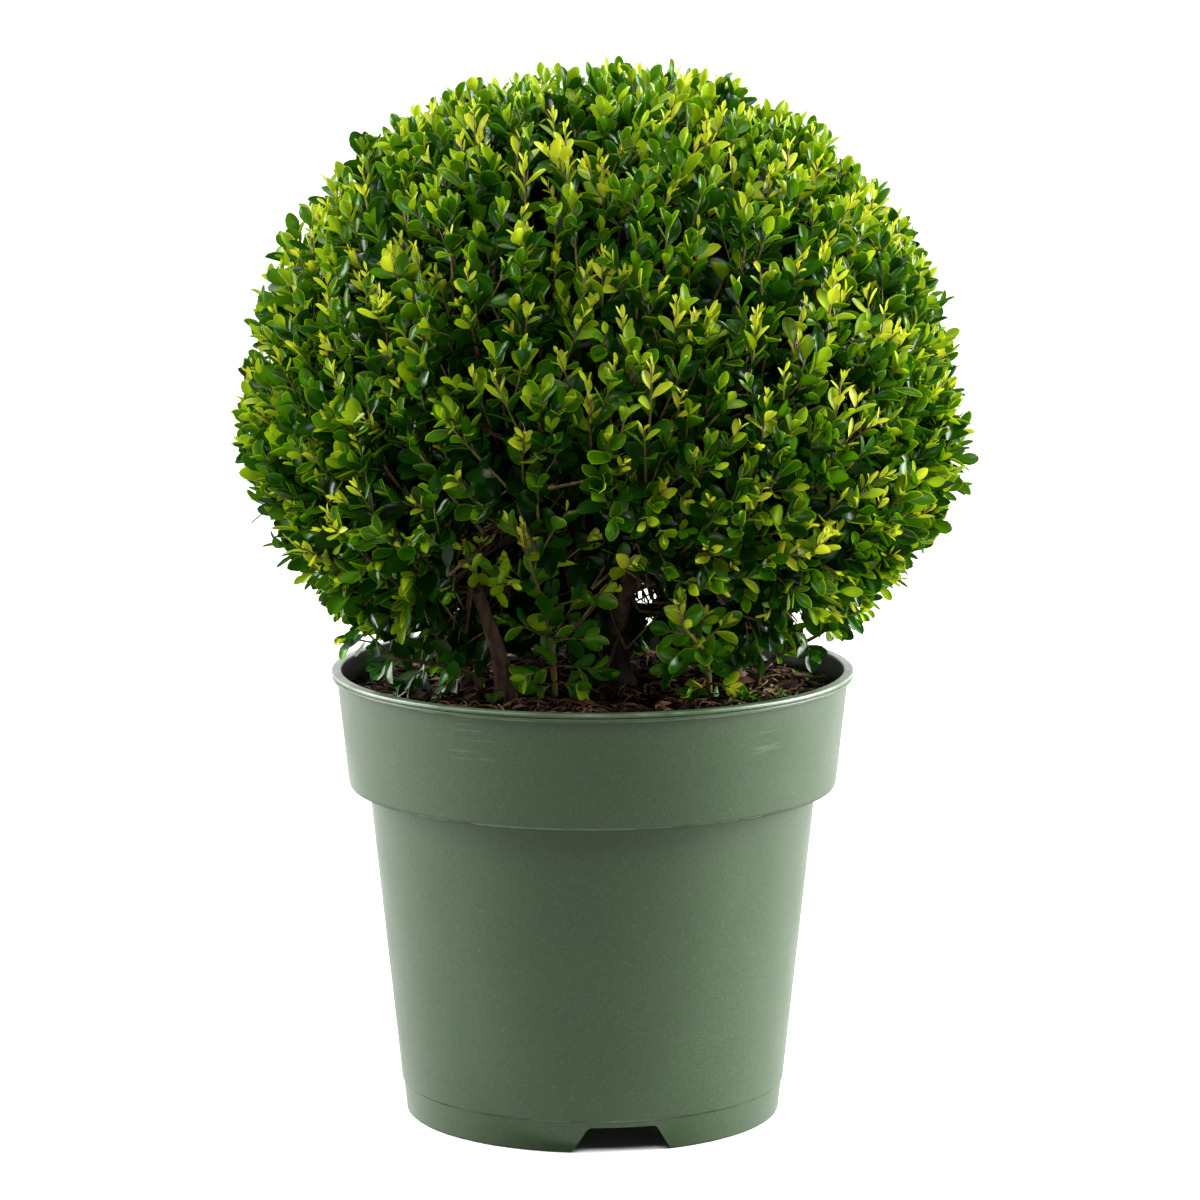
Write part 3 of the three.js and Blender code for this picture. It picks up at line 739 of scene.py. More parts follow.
def laid(places, lift=0.0):
    """These places, moved to this height over the potting mix."""
    places[:, 2] = [soil_height(x, y) + lift for x, y in places[:, :2]]
    return places


def make_soil():
    edge = SOIL_EDGE - 0.4
    below = [(ON_AXIS, SOIL_FLOOR), (edge - 3, SOIL_FLOOR)]
    top = [(radius, 0.0) for radius in np.linspace(edge, ON_AXIS, SOIL_RINGS)]
    verts, walls = lathe(np.array(below + top), SOIL_SEGMENTS)
    laid(verts[len(below) * SOIL_SEGMENTS :])
    parts = Parts()
    parts.add(verts, [walls])
    parts.piece("potting_mix_top", [SOIL], "potting_mix", ["potting_mix"])


def scattered(count, edge):
    """Places on the potting mix."""
    radius = edge * np.sqrt(rng.random(count))
    return laid(around_z(radius, random_turns(count), 0.0))


def flat_frames(count, tilt):
    """Directions that lie nearly flat, and the faces' directions square to them."""
    turn = random_turns(count)
    along = unit(around_z(1.0, turn, rng.normal(0, tilt, count)))
    up = unit(UP + rng.normal(0, tilt * 1.5, (count, 3)))
    return along, unit(up - dot(up, along) * along)


def within_pot(points, room):
    """Which of these rows of places stay clear of the pot's wall by this much."""
    return (np.hypot(points[..., 0], points[..., 1]) < SOIL_EDGE - room).all(axis=1)


def icosahedron():
    """The corners of a ball of twenty triangles, and the triangles, all facing out."""
    golden = (1 + math.sqrt(5)) / 2
    corners = [(-1, golden, 0), (1, golden, 0), (-1, -golden, 0), (1, -golden, 0)]
    corners += [(z, x, y) for x, y, z in corners] + [(y, z, x) for x, y, z in corners]
    ball = unit(np.array(corners))
    near = ball @ ball.T > 0.4
    trios = [trio for trio in combinations(range(len(ball)), 3) if near[np.ix_(trio, trio)].all()]
    return ball, np.array([t if np.linalg.det(ball[list(t)]) > 0 else t[::-1] for t in trios])


def make_chips():
    ball, faces = icosahedron()
    count = CHIP_COUNT
    centre = scattered(count, SOIL_EDGE - 2)
    along, face = flat_frames(count, 0.30)
    length = rng.gamma(2.2, 0.9, count) + 0.9
    size = np.stack([length, length * rng.uniform(0.2, 0.7, count), rng.uniform(0.5, 1.5, count)], axis=1)
    rough = ball * (1 + rng.uniform(-0.30, 0.30, (count, len(ball), 1)))
    centre[:, 2] += rng.uniform(-0.4, 1.0, count) * size[:, 2]
    verts = in_frames(centre, along, face, rough * size[:, None])
    verts = verts[within_pot(verts, 0.4)]
    count = len(verts)
    kind = rng.choice(len(CHIPS), count, p=CHIP_SHARES)
    faces_of_all = (faces + (np.arange(count) * len(ball))[:, None, None]).reshape(-1, 3)
    parts = Parts()
    parts.add(verts.reshape(-1, 3), [faces_of_all], [np.repeat(kind, len(faces))])
    parts.piece("bark_chips", CHIPS, "potting_mix", [], smooth=False)


def make_fibres():
    count = FIBRE_COUNT
    foot = scattered(count, FIBRE_EDGE)
    along, _ = flat_frames(count, 0.1)
    reach = rng.uniform(6, 22, count)[:, None]
    tip = foot + along * reach
    middle = (foot + tip) / 2 + np.cross(along, UP) * reach * rng.normal(0, 0.60, (count, 1))
    middle[:, 2] += rng.uniform(2.0, 8.0, count)
    foot[:, 2] -= 0.5
    tip[:, 2] = foot[:, 2] + rng.uniform(0, 1.5, count)
    paths = curves(foot, middle, tip, np.linspace(0, 1, FIBRE_RINGS))
    paths = paths[within_pot(paths, 1.0)]
    count = len(paths)
    radius = rng.uniform(0.28, 0.66, count)[:, None] * np.linspace(1.2, 0.6, FIBRE_RINGS)
    verts, groups = tubes(paths, radius, 4)
    kind = rng.choice([1, 2, 3], count, p=[0.22, 0.48, 0.30])
    parts = Parts()
    parts.add(verts, groups, [np.repeat(kind, len(faces) // count) for faces in groups])
    parts.piece("fibres", CHIPS, "potting_mix", [])


def make_fallen_leaves():
    root = np.array([on_soil(*spot) for spot in DRY_LEAF_SPOTS])
    root = laid(np.concatenate([root, scattered(DRY_LEAF_COUNT, DRY_LEAF_EDGE)]), DRY_LEAF_LIFT)
    along, face = flat_frames(len(root), 0.12)
    length = rng.uniform(11, 17, len(root))
    kept = within_pot(np.stack([root, root + along * length[:, None]], axis=1), 6.0)
    root, along, face, length = (a[kept] for a in (root, along, face, length))
    fold, curl = rng.uniform(0.1, 0.6, len(root)), rng.uniform(-0.1, 0.2, len(root))
    parts = Parts()
    parts.add(*blades(PLAIN_LEAF, root, along, face, length, length * 0.5, fold, curl))
    parts.piece("fallen_leaves", [DRY_LEAF], "potting_mix", [])


def make_moss():
    """Tufts of moss, and two seedlings with a few round leaves."""
    roots, lengths = [], []
    for column, row, count, spread, sizes in MOSS_SPOTS + SEEDLING_SPOTS:
        roots.append(on_soil(column, row) + rng.normal(0, (*spread, 0.0), (count, 3)))
        lengths.append(rng.uniform(*sizes, count))
    root, length = np.concatenate(roots), np.concatenate(lengths)
    kept = np.hypot(root[:, 0], root[:, 1]) < MOSS_EDGE
    root, length = laid(root[kept]), length[kept]
    along = unit(UP * 0.8 + rng.normal(0, 0.6, root.shape) * (1, 1, 0.3))
    fold, curl = np.full(len(root), 0.3), np.full(len(root), 0.2)
    parts = Parts()
    parts.add(*blades(PLAIN_LEAF, root, along, square_to(along), length, length * 0.5, fold, curl))
    parts.piece("moss", [MOSS], "low_foliage", [])


# Limbs and the crown's space, as in the solids

AXES = np.array([UP if turn is None else around_from_front(turn) for turn in MASSES.values()])


def crown_reach(direction):
    depth = np.where(direction[..., 2] >= 0, CROWN_RADIUS, CROWN_DEPTH_BELOW)
    flat = np.hypot(direction[..., 0], direction[..., 1]) / CROWN_RADIUS
    return 1 / np.hypot(flat, direction[..., 2] / depth)


def skirt_at(place):
    flat = np.maximum(np.hypot(place[..., 0], place[..., 1]), 1e-6)
    frontness = np.maximum(0, -place[..., 1] / flat)
    return SKIRT_HEIGHT + SKIRT_FRONT_LIFT * frontness**2 - CROWN_MIDDLE[2]


def inside_core(mass, place):
    others = np.delete(np.arange(len(AXES)), mass)
    depth = min(place @ unit(AXES[mass] - AXES[other]) for other in others)
    far = np.linalg.norm(place)
    hollow = math.hypot(place[0], place[1]) if place[2] < 0 else far
    return (
        hollow >= HOLLOW_RADIUS
        and far <= CORE_REACH * crown_reach(place / far)
        and place[2] >= CORE_FLOOR - CROWN_MIDDLE[2]
        and depth >= CORE_SEAM
    )


def core_middle(mass):
    return AXES[mass] * CORE_MIDDLE * CROWN_RADIUS


def core_reach(mass, direction):
    reach = 0.0
    while inside_core(mass, core_middle(mass) + direction * (reach + CORE_STEP)):
        reach += CORE_STEP
    return reach


def entry_of(mass, start):
    """Where a mass's own stem begins, and the direction it goes in."""
    middle = core_middle(mass) + CROWN_MIDDLE
    inward = unit(middle - start)
    return middle - inward * (core_reach(mass, -inward) + STEM_SHOWN), inward


def limb_piece(name, path, radii, sides=LIMB_SIDES, cover=BARK):
    """A limb with bark relief: ridges along it and knots where side shoots were."""
    verts, faces = tubes(path[None], radii[None], sides)
    for v, middle in zip(verts, np.repeat(path, sides, axis=0)):
        ridge = noise.noise(Vector(v * (0.55, 0.55, 0.10)))
        knot = noise.noise(Vector(v * 0.11 + 7.0))
        v += (v - middle) * (0.11 * ridge + 0.16 * max(0.0, knot - 0.15))
    parts = Parts()
    parts.add(verts, faces)
    parts.piece(name + "_bark", [cover], "bark", [name])


def flared(foot, tip, flare):
    t = np.linspace(0, 1, LIMB_RINGS)
    return lerp(foot, tip, t) + flare * (1 - t) ** 6


def make_limbs():
    """Trunk, stems and boughs. Returns where each mass's stem begins and which way it goes."""
    entries = {}

    def limb_to(mass, name, start, lean, radii):
        """A limb that leaves upright, or leans out, and ends where its mass's stem begins."""
        entry, inward = entries[mass] = entry_of(MASS_NAMES.index(mass), start)
        leave = unit(unit((entry - start) * FLAT) * lean + UP)
        limb_piece(name, bend(start, leave, entry, inward, LIMB_RINGS), radii)

    foot = np.array([*TRUNK_FOOT, GROUND])
    tip = foot + np.array([*TRUNK_LEAN, TRUNK_HEIGHT])
    trunk = bend(foot, UP, tip, UP, LIMB_RINGS)
    radii = flared(TRUNK_RADIUS, TRUNK_TIP_RADIUS, TRUNK_FLARE)
    # The trunk wears the bark darkened as painted shade
    limb_piece("trunk", trunk, radii, TRUNK_SIDES, TRUNK_BARK_PAINTED_SHADE)
    radii = flared(STEM_RADIUS, STEM_TIP_RADIUS, STEM_FLARE)
    for name, (place, mass) in STEMS.items():
        limb_to(mass, name, np.array([*place, GROUND]), 0, radii)
    radii = np.linspace(BOUGH_RADIUS, BOUGH_TIP_RADIUS, LIMB_RINGS)
    for name, (share, mass) in BOUGHS.items():
        limb_to(mass, name, trunk[int(share * (LIMB_RINGS - 1))], 1, radii)
    radii = np.linspace(TRUNK_TIP_RADIUS, BOUGH_TIP_RADIUS, LIMB_RINGS)
    limb_to("crown_top", "leader", tip + UP * CLEAR, 0, radii)
    return entries


# Sprigs: leafy shoots, each a bent path from foot to tip

LEAF_LENGTH = 18.6
LEAF_WIDTH_SHARE = 0.57
LEAF_TURN = math.radians(137.5)
LEAF_DROP = 0.04
AGE_AND_SHADE_STEPS = [0.16, 0.30, 0.45, 0.62, 0.78]
MARGIN_FROM = 0.4
SHADED = 0.12
TIP_ROOM = 7.0
TOP_ROOM = 4.0

# Small openings through the plant, as column, row and radius in the photo's frame
SKY_GAPS = [(643, 588, 14), (648, 547, 3), (455, 613, 4), (416, 635, 3), (574, 556, 3)]
SKY_GAPS += [(650, 616, 2), (795, 619, 3), (811, 636, 2)]
GAP_ROOM = 5.0

# Where stems and low shoots show through the crown's leaves, and openings in the skirt where they show: left,
# top, right and bottom in the photo's frame, and the depth in front of which no leaf or no sprig's tip stands
VIEWS = [
    (458, 534, 520, 602, -62.0),
    (470, 600, 520, 700, -52.0),
    (506, 512, 602, 592, -122.0),
    (514, 590, 612, 700, -60.0),
    (664, 598, 744, 700, -56.0),
    (728, 632, 776, 694, -14.0),
]
STEM_WINDOWS = [(454, 532, 522, 700, 20.0), (606, 588, 668, 692, 20.0), (722, 630, 778, 695, 20.0)]
SHOOT_WINDOWS = [(510, 510, 612, 700, 20.0), (664, 596, 736, 700, 20.0)]


def clear_of_gaps(places):
    columns, rows = pixels_of(places)
    kept = np.ones(len(places), bool)
    for column, row, radius in SKY_GAPS:
        kept &= np.hypot(columns - column, rows - row) > radius + GAP_ROOM
    return kept


def clear_of_windows(places, windows):
    columns, rows = pixels_of(places)
    kept = np.ones(len(places), bool)
    for left, top, right, bottom, depth in windows:
        within = (columns > left) & (columns < right) & (rows > top) & (rows < bottom)
        kept &= ~within | (places[:, 1] > depth)
    return kept


def clear_of_views(places):
    return clear_of_gaps(places) & clear_of_windows(places, VIEWS)


def tip_reach(direction):
    """How far from the crown's middle a sprig's tip may stand, so that its last leaves end at the outline."""
    room = TIP_ROOM * lerp(0.7, 1.0, smoothstep(-0.6, 0.0, direction[:, 2]))
    room += TOP_ROOM * smoothstep(0.80, 1.0, direction[:, 2])
    return crown_reach(direction) - room


class Sprigs:
    """Leafy shoots. flush says how much of the young yellow growth each has, and shade how dark it is:
    painted shade, painted light where negative, and for old side sprigs their age.
    """

    def __init__(self, foot, middle, tip, flush, size, outward, shade):
        self.foot, self.middle, self.tip = foot, middle, tip
        self.flush, self.size, self.outward, self.shade = flush, size, outward, shade

    def pick(self, chosen):
        return Sprigs(*(a[chosen] for a in vars(self).values()))

    def joined(self, other):
        return Sprigs(*(np.concatenate(pair) for pair in zip(vars(self).values(), vars(other).values())))

    def stems(self, parts, radius, sides=4):
        paths = curves(self.foot, self.middle, self.tip, np.linspace(0, 1, TWIG_RINGS))
        radii = radius * self.size[:, None] * np.linspace(1.0, 0.42, TWIG_RINGS)
        young = np.repeat(np.linspace(0, 1, TWIG_RINGS - 1) > 0.3, sides).astype(int)
        parts.add(*tubes(paths, radii, sides), [np.tile(young, len(self.foot)), 0, 1])

    def leaves(self, parts, count, origin, clear, first=0.1, width=LEAF_WIDTH_SHARE, hang=0.0):
        """Leaves in a spiral along each sprig, smaller, more upright and younger towards its tip.

        The sprigs' places are measured from origin, and clear says which places leaves may take.
        """

        def each(values):
            return np.repeat(values, count, axis=0)

        n = len(self.foot)
        total = n * count
        t = first + (1 - first) * (1 - (1 - np.linspace(0, 1, count)) ** 1.45)
        place = curves(self.foot, self.middle, self.tip, t).reshape(-1, 3)
        t = np.tile(t, n)
        way = unit(lerp(each(self.middle - self.foot), each(self.tip - self.middle), t[:, None]))
        turn = each(random_turns(n)) + np.tile(LEAF_TURN * np.arange(count), n) + rng.normal(0, 0.25, total)
        lean = lerp(1.08, 0.42, t**1.8) + rng.normal(0, 0.15, total)
        aside = turned(square_to(way), way, turn)
        along = unit(way * np.cos(lean)[:, None] + aside * np.sin(lean)[:, None])
        along = unit(along - UP * hang)
        light = unit(each(self.outward) * 0.8 + UP * 0.5)
        face = unit(way - dot(way, along) * along) + 0.70 * light
        face = unit(face - dot(face, along) * along)
        face = turned(face, along, rng.normal(0, 0.30, total))
        flush, shade = each(np.clip(self.flush, 0, 1)), each(self.shade)
        last = lerp(0.68, 0.38, flush)
        ends = lerp(1.0, last, smoothstep(0.55, 1.0, t)) * lerp(0.85, 1.0, smoothstep(0, 0.35, t))
        length = LEAF_LENGTH * each(self.size) * ends * rng.uniform(0.82, 1.12, total)
        slim = lerp(1.0, lerp(0.94, 0.54, flush), smoothstep(0.60, 0.95, t))
        share = width * slim * rng.uniform(0.86, 1.12, total)
        fold = rng.uniform(0.10, 0.62, total)
        curl = rng.uniform(-0.18, 0.16, total)
        early = each(np.clip(self.flush - 1, 0, None))
        young = smoothstep(0.70 - 1.5 * early, 1.0 - 0.6 * early, t) * (0.08 + 0.74 * flush)
        # Leaves near a sprig's foot are darker, partly from age and partly as painted shade inside the crown.
        # Those on upward sprigs are lighter, partly from young growth and partly as painted light from above.
        # shade moves leaves to darker classes as painted shade, and to lighter ones as painted light where it
        # is negative.
        old_and_shaded = 0.12 * (1 - smoothstep(0.05, 0.5, t))
        age_and_painted_shade = 0.25 - old_and_shaded + 0.05 * each(self.outward[:, 2]) - shade
        number = np.digitize(age_and_painted_shade + young + rng.normal(0, 0.075, total), AGE_AND_SHADE_STEPS)
        # Margins take the next paler class as a painted highlight, only on leaves without painted shade
        rim_highlight = np.minimum(number + (rng.random(total) < 0.7), len(LEAVES) - 1)
        keep = rng.random(total) > LEAF_DROP
        for reach in (0.1, 0.55, 1.0):
            keep &= clear(origin + place + along * length[:, None] * reach)
        edged = keep & (t > MARGIN_FROM) & (shade < SHADED)
        for shape, chosen in ((EDGED_LEAF, edged), (PLAIN_LEAF, keep & ~edged)):
            sizes = (place, along, face, length, length * share, fold, curl)
            kinds = zip((number[chosen], rim_highlight[chosen]), shape.groups)
            numbers = [np.repeat(kind, len(group)) for kind, group in kinds]
            parts.add(*blades(shape, *(a[chosen] for a in sizes)), numbers)

    def branched(self, chance, turn):
        """Shorter side shoots that fork from these."""
        mother = self.pick(rng.random(len(self.foot)) < chance)
        n = len(mother.foot)
        foot = curve(mother.foot, mother.middle, mother.tip, rng.uniform(0.30, 0.72, n)[:, None])
        way = unit(mother.tip - mother.foot)
        aside = turned(square_to(way), way, random_turns(n))
        way = unit(way + aside * turn * rng.uniform(0.7, 1.3, (n, 1)) + UP * 0.15)
        length = rng.uniform(24, 40, n)[:, None]
        tip = foot + way * length
        far = norm(tip)
        tip *= np.minimum(1, tip_reach(tip / far)[:, None] / far)
        middle = (foot + tip) / 2 + aside * length * 0.10
        flush = np.where(rng.random(n) < 0.5, mother.flush, rng.random(n) * 0.5)
        return Sprigs(foot, middle, tip, flush, mother.size * 0.88, mother.outward, mother.shade)


def leafy_pieces(name, wood, green, looks, slot):
    wood.piece("twigs_" + name, [TWIG_BARK, SHOOT_BARK], "bark", [name])
    green.piece("leaves_" + name, looks, slot, [name])


# Crown: places are measured from its middle

SPRIG_COUNT = 1560
INNER_COUNT = 900
TWIG_COUNT = 420
TWIG_FLOOR = SKIRT_HEIGHT - CROWN_MIDDLE[2] + 6
BRANCH_COUNT = 76
BRANCH_FLOOR = -76.0
BACK_SKIRT_DROP = 22.0
CROWN_LEAN = np.array([3.0, 0.0, 0.0])
# The share of the crown's reach that a sprig's foot stays within
FOOT_REACH = 0.88
# How closely clumps of older and of younger sprigs follow each other round the crown
CLUMPS = 5.0

# Bright young sprigs that stand out on the front, as columns and rows in the photo's frame
ACCENTS = [(401, 545), (530, 425), (759, 487), (789, 540), (478, 280), (530, 182), (600, 262)]
ACCENTS += [(735, 325), (815, 290), (660, 325), (840, 420), (404, 288), (690, 240), (577, 142)]
ACCENTS += [(697, 117), (770, 185), (532, 234), (512, 490), (654, 382), (682, 386), (822, 520), (766, 407)]
ACCENTS += [(401, 474), (608, 555), (506, 443), (608, 183), (450, 101), (782, 132), (620, 445), (875, 330)]
ACCENTS += [(890, 572), (322, 566), (302, 546), (557, 530), (838, 402), (690, 556), (491, 428)]
ACCENT_BACK = -40.0
ACCENT_FLUSH = 1.24
ACCENT_SIZE = 0.84
ACCENT_LENGTH = 52.0
ACCENT_LIFT = 22.0
ACCENT_OUT = 5.0

# Low shoots that hang behind the stems: how many, between which radii and heights
SKIRT_COUNT = 170
SKIRT_RADII = (58.0, 112.0)
SKIRT_TIPS = (243.0, 278.0)
SKIRT_LENGTH = 46.0
SKIRT_BULGE = 6.0


def floor_at(place, direction):
    """How low the crown reaches: its skirt hangs lower at the back."""
    return skirt_at(place) - BACK_SKIRT_DROP * smoothstep(-0.1, 0.6, direction[:, 1])


def within_crown(place):
    return np.linalg.norm(place, axis=-1) < FOOT_REACH * crown_reach(unit(place))


def accent(sprigs):
    """Makes the sprig that shows nearest to each accent bright, and upright where there is room."""
    columns, rows = pixels_of(sprigs.tip + CROWN_MIDDLE)
    behind = np.where(sprigs.tip[:, 1] > ACCENT_BACK, IMAGE, 0)
    foot, tip = sprigs.foot, sprigs.tip
    for column, row in ACCENTS:
        i = np.argmin(np.hypot(columns - column, rows - row) + behind)
        outward = sprigs.outward[i]
        sprigs.flush[i], sprigs.size[i] = ACCENT_FLUSH, ACCENT_SIZE
        steep = lerp(1.3, 0.35, smoothstep(-0.35, 0.15, outward[2]))
        tip[i] += outward * ACCENT_OUT
        below = tip[i] - unit(UP + steep * outward) * ACCENT_LENGTH
        if within_crown(below) and below[2] > skirt_at(below) + ACCENT_LIFT:
            foot[i] = below
        sprigs.middle[i] = (foot[i] + tip[i]) / 2 + outward * ACCENT_OUT


def crown_sprigs():
    direction = even_directions(SPRIG_COUNT, 0.30)
    reach = tip_reach(direction) + direction @ CROWN_LEAN
    tip = direction * (reach * (1 - 0.065 * rng.random(SPRIG_COUNT) ** 1.5))[:, None]
    keep = tip[:, 2] >= floor_at(tip, direction)
    keep &= clear_of_windows(tip + CROWN_MIDDLE, STEM_WINDOWS + SHOOT_WINDOWS)
    direction, tip = direction[keep], tip[keep]
    count, height = len(tip), direction[:, 2]
    lift = lerp(0.10, 0.64, smoothstep(-0.60, 0.0, height))[:, None]
    way = unit(direction * 0.62 + UP * lift + rng.normal(0, 0.17, (count, 3)))
    length = rng.uniform(48, 72, count)[:, None]
    foot = tip - way * length
    deep = within_crown(foot) & (foot[:, 2] > floor_at(foot, direction) + 10)
    foot = np.where(deep[:, None], foot, tip - direction * length)
    middle = (foot + tip) / 2 + direction * length * 0.10
    low = smoothstep(0.25, -0.45, height)
    aside = smoothstep(0.5, 0.95, np.abs(direction[:, 0]))
    clump = np.array([noise.noise(Vector(d) * CLUMPS) for d in direction])
    skirt = smoothstep(-0.25, -0.55, height)
    flushed = rng.random(count) < (lerp(0.40, 0.33, low) + 0.06 * aside + 0.35 * clump) * (1 - 0.5 * skirt)
    flush = np.where(flushed, rng.uniform(0.80, 1.16, count), rng.uniform(0, 0.30, count))
    size = rng.uniform(0.86, 1.12, count) * lerp(0.97, 1.08, low)
    # Painted shade: a little more on the skirt and a little less low down, with clumps of older and younger
    # sprigs at random. Painted light keeps the sprigs at the top and the sides out of the darkest classes,
    # for the light that falls there.
    shade = 0.02 * skirt - 0.02 * low - 0.14 * clump + rng.normal(0, 0.05, count)
    painted_light_share = np.maximum(aside, smoothstep(0.2, 0.6, height))
    shade = np.minimum(shade, lerp(0.20, 0.04, painted_light_share))
    sprigs = Sprigs(foot, middle, tip, flush, size, direction, shade)
    accent(sprigs)
    return sprigs.pick(clear_of_views(foot + CROWN_MIDDLE) & clear_of_views(middle + CROWN_MIDDLE))


def shaded_sprigs(foot, middle, tip, sizes, outward, shade):
    """Shoots without young growth, all with the same painted shade."""
    flush, shades = np.zeros(len(foot)), np.full(len(foot), shade)
    return Sprigs(foot, middle, tip, flush, rng.uniform(*sizes, len(foot)), outward, shades)


def skirt_sprigs():
    """Shoots with painted shade at the sides and back that hang to the pot's rim."""
    out = around_z(1.0, rng.uniform(-0.12, math.pi + 0.12, SKIRT_COUNT), 0.0)
    tip = out * rng.uniform(*SKIRT_RADII, SKIRT_COUNT)[:, None]
    tip[:, 2] = rng.uniform(*SKIRT_TIPS, SKIRT_COUNT) - CROWN_MIDDLE[2]
    rise = unit(UP - 0.5 * out + rng.normal(0, 0.3, (SKIRT_COUNT, 3)))
    foot = tip + rise * SKIRT_LENGTH
    return shaded_sprigs(foot, (foot + tip) / 2 + out * SKIRT_BULGE, tip, (0.9, 1.1), out, 0.13)


def inner_sprigs():
    """Shoots with painted shade behind the outer ones, which close the view into the crown."""
    direction = even_directions(INNER_COUNT, 0.4)
    tip = direction * (crown_reach(direction) * rng.uniform(0.62, 0.84, INNER_COUNT))[:, None]
    keep = tip[:, 2] >= floor_at(tip, direction) + 8
    keep &= clear_of_windows(tip + CROWN_MIDDLE, STEM_WINDOWS)
    direction, tip = direction[keep], tip[keep]
    way = unit(direction * 0.7 + UP * 0.3 + rng.normal(0, 0.4, tip.shape))
    foot = tip - way * rng.uniform(36, 56, len(tip))[:, None]
    return shaded_sprigs(foot, (foot + tip) / 2, tip, (1.0, 1.2), direction, 0.20)


def spread(count, jitter, shares, floor):
    """Places all round the crown, between two shares of its reach and above a floor."""
    way = even_directions(count, jitter)
    places = way * (crown_reach(way) * rng.uniform(*shares, count))[:, None]
    return places[places[:, 2] > floor]


def owner_of(places):
    """The mass that each place belongs to."""
    return np.argmax(places @ AXES.T, axis=1)


def links(parts, starts, end, droop, radii, sides):
    """Bent twigs to each end from the nearest of the starts."""
    start = starts[np.argmin(norm(end[:, None] - starts)[..., 0], axis=1)]
    middle = (start + end) / 2 - UP * droop * norm(end - start)
    paths = curves(start, middle, end, np.linspace(0, 1, TWIG_RINGS))
    parts.add(*tubes(paths, np.tile(np.linspace(*radii, TWIG_RINGS), (len(start), 1)), sides))


def make_crown(entries):
    outer, inner = crown_sprigs(), inner_sprigs().joined(skirt_sprigs())
    twig_at = spread(TWIG_COUNT, 0.25, (0.52, 0.66), TWIG_FLOOR)
    branch_at = spread(BRANCH_COUNT, 0.2, (0.34, 0.44), BRANCH_FLOOR)
    for mass, name in enumerate(MASS_NAMES):
        sprigs, shaded = (group.pick(owner_of(group.tip) == mass) for group in (outer, inner))
        twigs, main = (places[owner_of(places) == mass] for places in (twig_at, branch_at))
        wood, leaves = Parts(), Parts()
        entry, inward = entries[name]
        foot = entry + inward * CLEAR - CROWN_MIDDLE
        stem = foot + inward * np.linspace(0, norm(core_middle(mass) - foot), 6)
        wood.add(*tubes(stem[None], np.linspace(BOUGH_TIP_RADIUS, 2.2, len(stem))[None], 8))
        links(wood, stem, main, 0.05, (2.4, 1.7), 5)
        links(wood, main, twigs, 0.08, (1.8, 1.15), 4)
        for group in (sprigs, shaded):
            links(wood, twigs, group.foot, 0.08, (1.15, 0.95), 3)
        sprigs.stems(wood, 1.05)
        shaded.stems(wood, 0.9, 3)
        side = sprigs.branched(0.55, 0.62)
        side.stems(wood, 0.75, 3)
        sprigs.leaves(leaves, 12, CROWN_MIDDLE, clear_of_views)
        side.leaves(leaves, 7, CROWN_MIDDLE, clear_of_views, first=0.25)
        shaded.leaves(leaves, 10, CROWN_MIDDLE, clear_of_views)
        for parts in (wood, leaves):
            parts.verts = [v + CROWN_MIDDLE for v in parts.verts]
        leafy_pieces(name, wood, leaves, LEAVES, "foliage")


# Low shoots, and a tuft of young growth on the left stem

# Foot, tip, leaves, young growth, how dark, size of the leaves, how far they hang, bare share below
# How dark is painted shade, and painted light where it is negative
SHOOTS = {
    "front_shoot": ((-20, -36), (-35, -150, 340), 40, 1.1, -0.13, 0.90, 0.0, 0.2),
    "right_front_shoot": ((62, -30), (44, -130, 296), 26, 1.1, -0.13, 0.86, 0.0, 0.2),
    "low_left_branch": ((-60, -20), (-112, -52, 262), 16, 0.0, 0.06, 0.80, 0.7, 0.5),
    "low_right_branch": ((88, -6), (130, -30, 272), 14, 0.2, 0.03, 0.74, 0.4, 0.7),
}
SHOOT_LEAF_WIDTH = 0.56
SHOOT_RADII = (1.7, 0.7)
SHOOT_HALF = SHOOT_RINGS // 2
TO_FRONT = np.array([0, -0.6, 0])
NOWHERE = np.zeros(3)

# Side sprigs of the low shoots: share along the shoot, column and row of the tip, share of young growth
SIDE_SPRIGS = {
    "front_shoot": [
        (0.05, 531, 702, 0.0), (0.06, 577, 688, 0.0), (0.15, 602, 672, 0.0), (0.15, 526, 678, 0.0),
        (0.22, 588, 640, 0.1), (0.26, 510, 622, 0.0), (0.22, 579, 598, 0.9), (0.45, 614, 592, 0.5),
        (0.52, 508, 566, 0.3), (0.62, 592, 540, 0.5), (0.75, 566, 512, 0.9), (0.80, 508, 520, 0.9),
    ],
    "right_front_shoot": [
        (0.05, 731, 688, 1.1), (0.05, 690, 692, 0.0), (0.20, 717, 656, 0.2), (0.25, 668, 668, 0.0),
        (0.42, 728, 622, 1.1), (0.50, 706, 615, 1.0), (0.55, 664, 630, 0.2), (0.80, 680, 598, 0.9),
    ],
    "low_left_branch": [
        (0.25, 440, 690, 0.0), (0.40, 456, 650, 0.0), (0.50, 405, 680, 0.0), (0.65, 428, 622, 0.0),
        (0.75, 380, 664, 0.0), (0.90, 396, 622, 0.1), (1.00, 360, 628, 0.2), (1.00, 338, 638, 1.1),
    ],
    "low_right_branch": [
        (0.45, 790, 640, 0.1), (0.60, 812, 652, 0.0), (0.75, 806, 622, 0.3), (1.00, 860, 612, 0.6),
        (0.90, 838, 628, 0.3),
    ],
}
SIDE_SPRIG_NEARER = 12.0
# How much darker the side sprigs with little young growth are
OLD_SHADE = 0.10
LITTLE_YOUNG = 0.4

